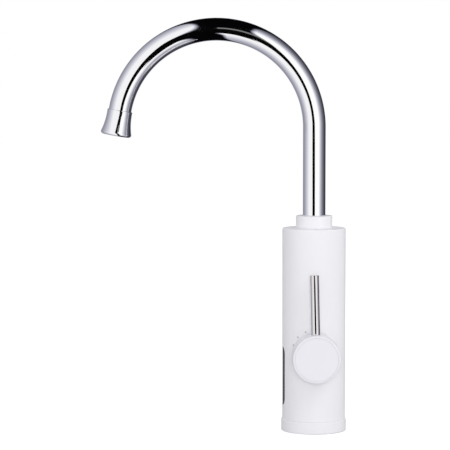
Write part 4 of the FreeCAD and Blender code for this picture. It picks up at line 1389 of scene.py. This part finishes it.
@dataclass
class Tent:
    """The light tent that bright metal mirrors: two pale cloths with a dark gap between them.

    A place on it is given by its turn, in degrees from the front, up and over, and by its lean to the side,
    in degrees and to the left when it is negative. The gap's keys are a turn and the leans of its two edges:
    it is closed at the front, where they cross, and wider and wider away from there. A pale backdrop closes
    the back. The coolness tints what is dim, by a share for each part of the colour.
    """

    radius: float = 1.3
    centre: Triple = (-0.085, 0.0, 0.25)
    turn_step: float = 1.0
    lean_step: float = 0.5
    left: Cloth = Cloth(front=0.95, start=-0.6, fall=0.9)
    right: Cloth = Cloth(front=1.05, start=-0.68, fall=2.4)
    gap: Keys = Keys((
        (-180.0, -10.0, 14.0), (-60.0, -4.0, 15.0), (-25.0, 2.0, 15.0), (-16.0, 10.0, 6.0), (3.0, 3.0, -1.0),
        (10.0, -4.0, 7.0), (60.0, -10.0, 19.0), (180.0, -25.0, 36.0)))
    gap_tone: float = 0.0015
    softness: float = 2.5
    coolness: Triple = (-0.09, -0.07, 0.2)
    back_start: float = 0.84
    back_tone: float = 0.6

    def tone(self, turn: float, lean: float) -> float:
        """How bright the tent is at a place.

        Args:
            turn: the turn from the front, from -180 to 180.
            lean: the lean to the side, from -90 to 90.

        Returns:
            The brightness, 1 for white.
        """
        depth = -math.cos(math.radians(lean)) * math.cos(math.radians(turn))
        low, high = self.gap.at(turn)
        cloth = self.left if lean < (low + high) / 2 else self.right
        side = cloth.tone(depth)
        cover = min(max(min(lean - low, high - lean) / self.softness + 0.5, 0.0), 1.0)
        tone = side + (self.gap_tone - side) * cover
        backdrop = max((depth - self.back_start) / (1.0 - self.back_start), 0.0)
        return tone + (self.back_tone - tone) * backdrop

    def build(self) -> None:
        """Puts up the tent, which shows only in reflections."""
        turns = [self.turn_step * step - 180.0 for step in range(round(360.0 / self.turn_step) + 1)]
        leans = [self.lean_step * step - 90.0 for step in range(round(180.0 / self.lean_step) + 1)]
        rows = []
        tones: list[float] = []
        for turn in turns:
            row = []
            for lean in leans:
                level = self.radius * math.cos(math.radians(lean))
                row.append(Vector(self.centre) + Vector((
                    self.radius * math.sin(math.radians(lean)),
                    -level * math.cos(math.radians(turn)),
                    level * math.sin(math.radians(turn)),
                )))
                tone = self.tone(turn, lean)
                shade = max(1.0 - tone, 0.0)
                tones += [tone * (1.0 + shade * part) for part in self.coolness] + [1.0]
            rows.append(row)
        graph, material = stage_material("tent_cloth")
        colour = graph.node("ShaderNodeAttribute", {"attribute_name": "tone"})
        show(graph, graph.node("ShaderNodeEmission", {}, {"Color": colour}))
        tent = stage_card("light_tent", rows, material)
        shades = tent.data.attributes.new("tone", "FLOAT_COLOR", "POINT")
        shades.data.foreach_set("color", tones)
        mirror_only(tent)


@dataclass
class Stand:
    """The camera's dark stand at arm's length, and the dim hood above it, as bright metal mirrors them.

    Both stand in one upright plane. Their rows are a height with the places of the left and right edge.
    """

    plane_y: float = -0.43
    rows: Sequence[tuple[float, ...]] = (
        (0.0, -0.17, 0.12), (0.10, -0.17, 0.12), (0.13, -0.14, 0.045),
        (0.25, -0.17, 0.03), (0.29, -0.17, 0.005), (0.40, -0.17, 0.005))
    stand_tone: float = 0.0015
    hood_rows: Sequence[tuple[float, ...]] = ((0.40, -0.085, 0.02), (0.49, -0.085, 0.02))
    hood_tone: float = 0.2

    def build(self) -> None:
        """Puts up both."""
        self.put_up("camera_stand", self.rows, self.stand_tone)
        self.put_up("camera_hood", self.hood_rows, self.hood_tone)

    def put_up(self, name: str, rows: Sequence[tuple[float, ...]], tone: float) -> None:
        """Puts up one card that shows only in reflections.

        Args:
            name: the card's name.
            rows: its rows.
            tone: how bright it is, 1 for white.
        """
        graph, material = stage_material(name)
        show(graph, graph.node("ShaderNodeEmission", {}, {"Strength": tone}))
        corners = [[Vector((x, self.plane_y, height)) for x in sides] for height, *sides in rows]
        mirror_only(stage_card(name, corners, material))


def mirror_only(card: bpy.types.Object) -> None:
    """Lets a card of the stage show in reflections and nowhere else.

    Args:
        card: the card.
    """
    card.visible_camera = False
    card.visible_diffuse = False
    card.visible_shadow = False
    card.visible_transmission = False


def stage_material(name: str) -> tuple[Graph, bpy.types.Material]:
    """Starts a stage material with no shader yet.

    Args:
        name: the material's name.

    Returns:
        Its node tree, and the material.
    """
    material = bpy.data.materials.new(name)
    material.use_nodes = True
    material.node_tree.nodes.clear()
    return Graph(material.node_tree), material


def show(graph: Graph, shader: Wire) -> None:
    """Ends a stage material with its shader."""
    result = graph.tree.nodes.new("ShaderNodeOutputMaterial")
    graph.tree.links.new(shader.socket, result.inputs["Surface"])


def stage_card(name: str, rows: Sequence[Sequence[Vector]], material: bpy.types.Material) -> bpy.types.Object:
    """Puts up a sheet that isn't part of the object.

    Args:
        name: the sheet's name.
        rows: rows of corners across the sheet.
        material: its material.

    Returns:
        The sheet.
    """
    corners = [spot for row in rows for spot in row]
    width = len(rows[0])
    faces = []
    for row in range(len(rows) - 1):
        for place in range(width - 1):
            first = row * width + place
            faces.append((first, first + 1, first + width + 1, first + width))
    mesh = bpy.data.meshes.new(name)
    mesh.from_pydata(corners, [], faces)
    mesh.materials.append(material)
    card = new_piece(name, mesh)
    return card


@dataclass
class Studio:
    """A pale floor, an even white room, four soft lamps, what metal mirrors, and the camera."""

    room_colour: Colour = (1.0, 1.0, 1.0)
    ambient: float = 0.69
    floor_reach: float = 7.0
    floor_drop: float = 0.1 * MM
    floor_colour: Colour = (0.62, 0.62, 0.63)
    floor_lift: float = 0.59
    camera_place: Triple = (-0.107, -2.027, 0.34085)
    camera_yaw: float = math.radians(-0.7)
    camera_pitch: float = math.radians(-4.24)
    camera_lens: float = 176.2
    camera_sensor: float = 36.0
    camera_near: float = 0.05
    lamps: Sequence[SoftLamp] = (
        SoftLamp("front_lamp", (-0.06, -2.35, 0.36), side=0.5, power=17.0),
        SoftLamp("high_lamp", (0.9, -1.5, 1.5), side=0.9, power=6.0),
        SoftLamp("rim_lamp", (2.0, 1.1, 0.9), side=1.4, power=13.5),
        SoftLamp("back_lamp", (-1.4, 2.0, 0.9), side=1.4, power=14.9),
    )
    tent: Tent = field(default_factory=Tent)
    stand: Stand = field(default_factory=Stand)

    def build(self) -> None:
        """Sets up the whole studio."""
        self.light_room()
        self.lay_floor()
        self.tent.build()
        self.stand.build()
        for lamp in self.lamps:
            lamp.build()
        self.place_camera()
        bpy.context.scene.view_settings.view_transform = "Standard"

    def seen(self, graph: Graph) -> Wire:
        """Tells the rays that show the room itself: to the camera, in a mirror or through glass.

        Args:
            graph: the node tree that asks.

        Returns:
            One for such rays, else zero.
        """
        rays = graph.node("ShaderNodeLightPath")
        mirrored = rays.out("Is Glossy Ray").math("MAXIMUM", rays.out("Is Transmission Ray"))
        return rays.math("MAXIMUM", mirrored)

    def light_room(self) -> None:
        """Makes the room white to look at, and a plain soft light on the object."""
        room = bpy.data.worlds.new("white_room")
        room.use_nodes = True
        graph = Graph(room.node_tree)
        graph.tree.nodes.clear()
        white = as_colour(self.room_colour)
        light = graph.node("ShaderNodeBackground", {}, {"Color": white, "Strength": self.ambient})
        look = graph.node("ShaderNodeBackground", {}, {"Color": white, "Strength": 1.0})
        both = graph.node("ShaderNodeMixShader", {}, {0: self.seen(graph), 1: light, 2: look})
        result = graph.tree.nodes.new("ShaderNodeOutputWorld")
        graph.tree.links.new(both.socket, result.inputs["Surface"])
        bpy.context.scene.world = room

    def lay_floor(self) -> None:
        """Lays a pale floor that looks white and still keeps the object's shadow."""
        graph, material = stage_material("pale_floor")
        cloth = graph.node("ShaderNodeBsdfDiffuse", {}, {"Color": as_colour(self.floor_colour)})
        lift = graph.node("ShaderNodeEmission", {}, {"Strength": self.seen(graph) * self.floor_lift})
        show(graph, graph.node("ShaderNodeAddShader", {}, {0: cloth, 1: lift}))
        edge = self.floor_reach
        rows = [[Vector((x, y, -self.floor_drop)) for x in (-edge, edge)] for y in (-edge, edge)]
        floor = stage_card("floor", rows, material)
        floor.visible_glossy = False

    def place_camera(self) -> None:
        """Sets the camera where the photograph was taken."""
        lens = bpy.data.cameras.new("camera")
        lens.lens = self.camera_lens
        lens.sensor_width = self.camera_sensor
        lens.clip_start = self.camera_near
        camera = bpy.data.objects.new("camera", lens)
        camera.location = self.camera_place
        camera.rotation_euler = (math.pi / 2 + self.camera_pitch, 0.0, self.camera_yaw)
        bpy.context.scene.collection.objects.link(camera)
        bpy.context.scene.camera = camera


def main() -> None:
    """Builds the tap and the studio."""
    logging.basicConfig(level=logging.INFO, format="%(name)s: %(message)s")
    Innards().dress()
    body = Body()
    body.build()
    Pane(body).build()
    Scale(body).build()
    KnobAndLever(body).build()
    Collar(body).build()
    Spout().build()
    Studio().build()


if __name__ == "__main__":
    main()
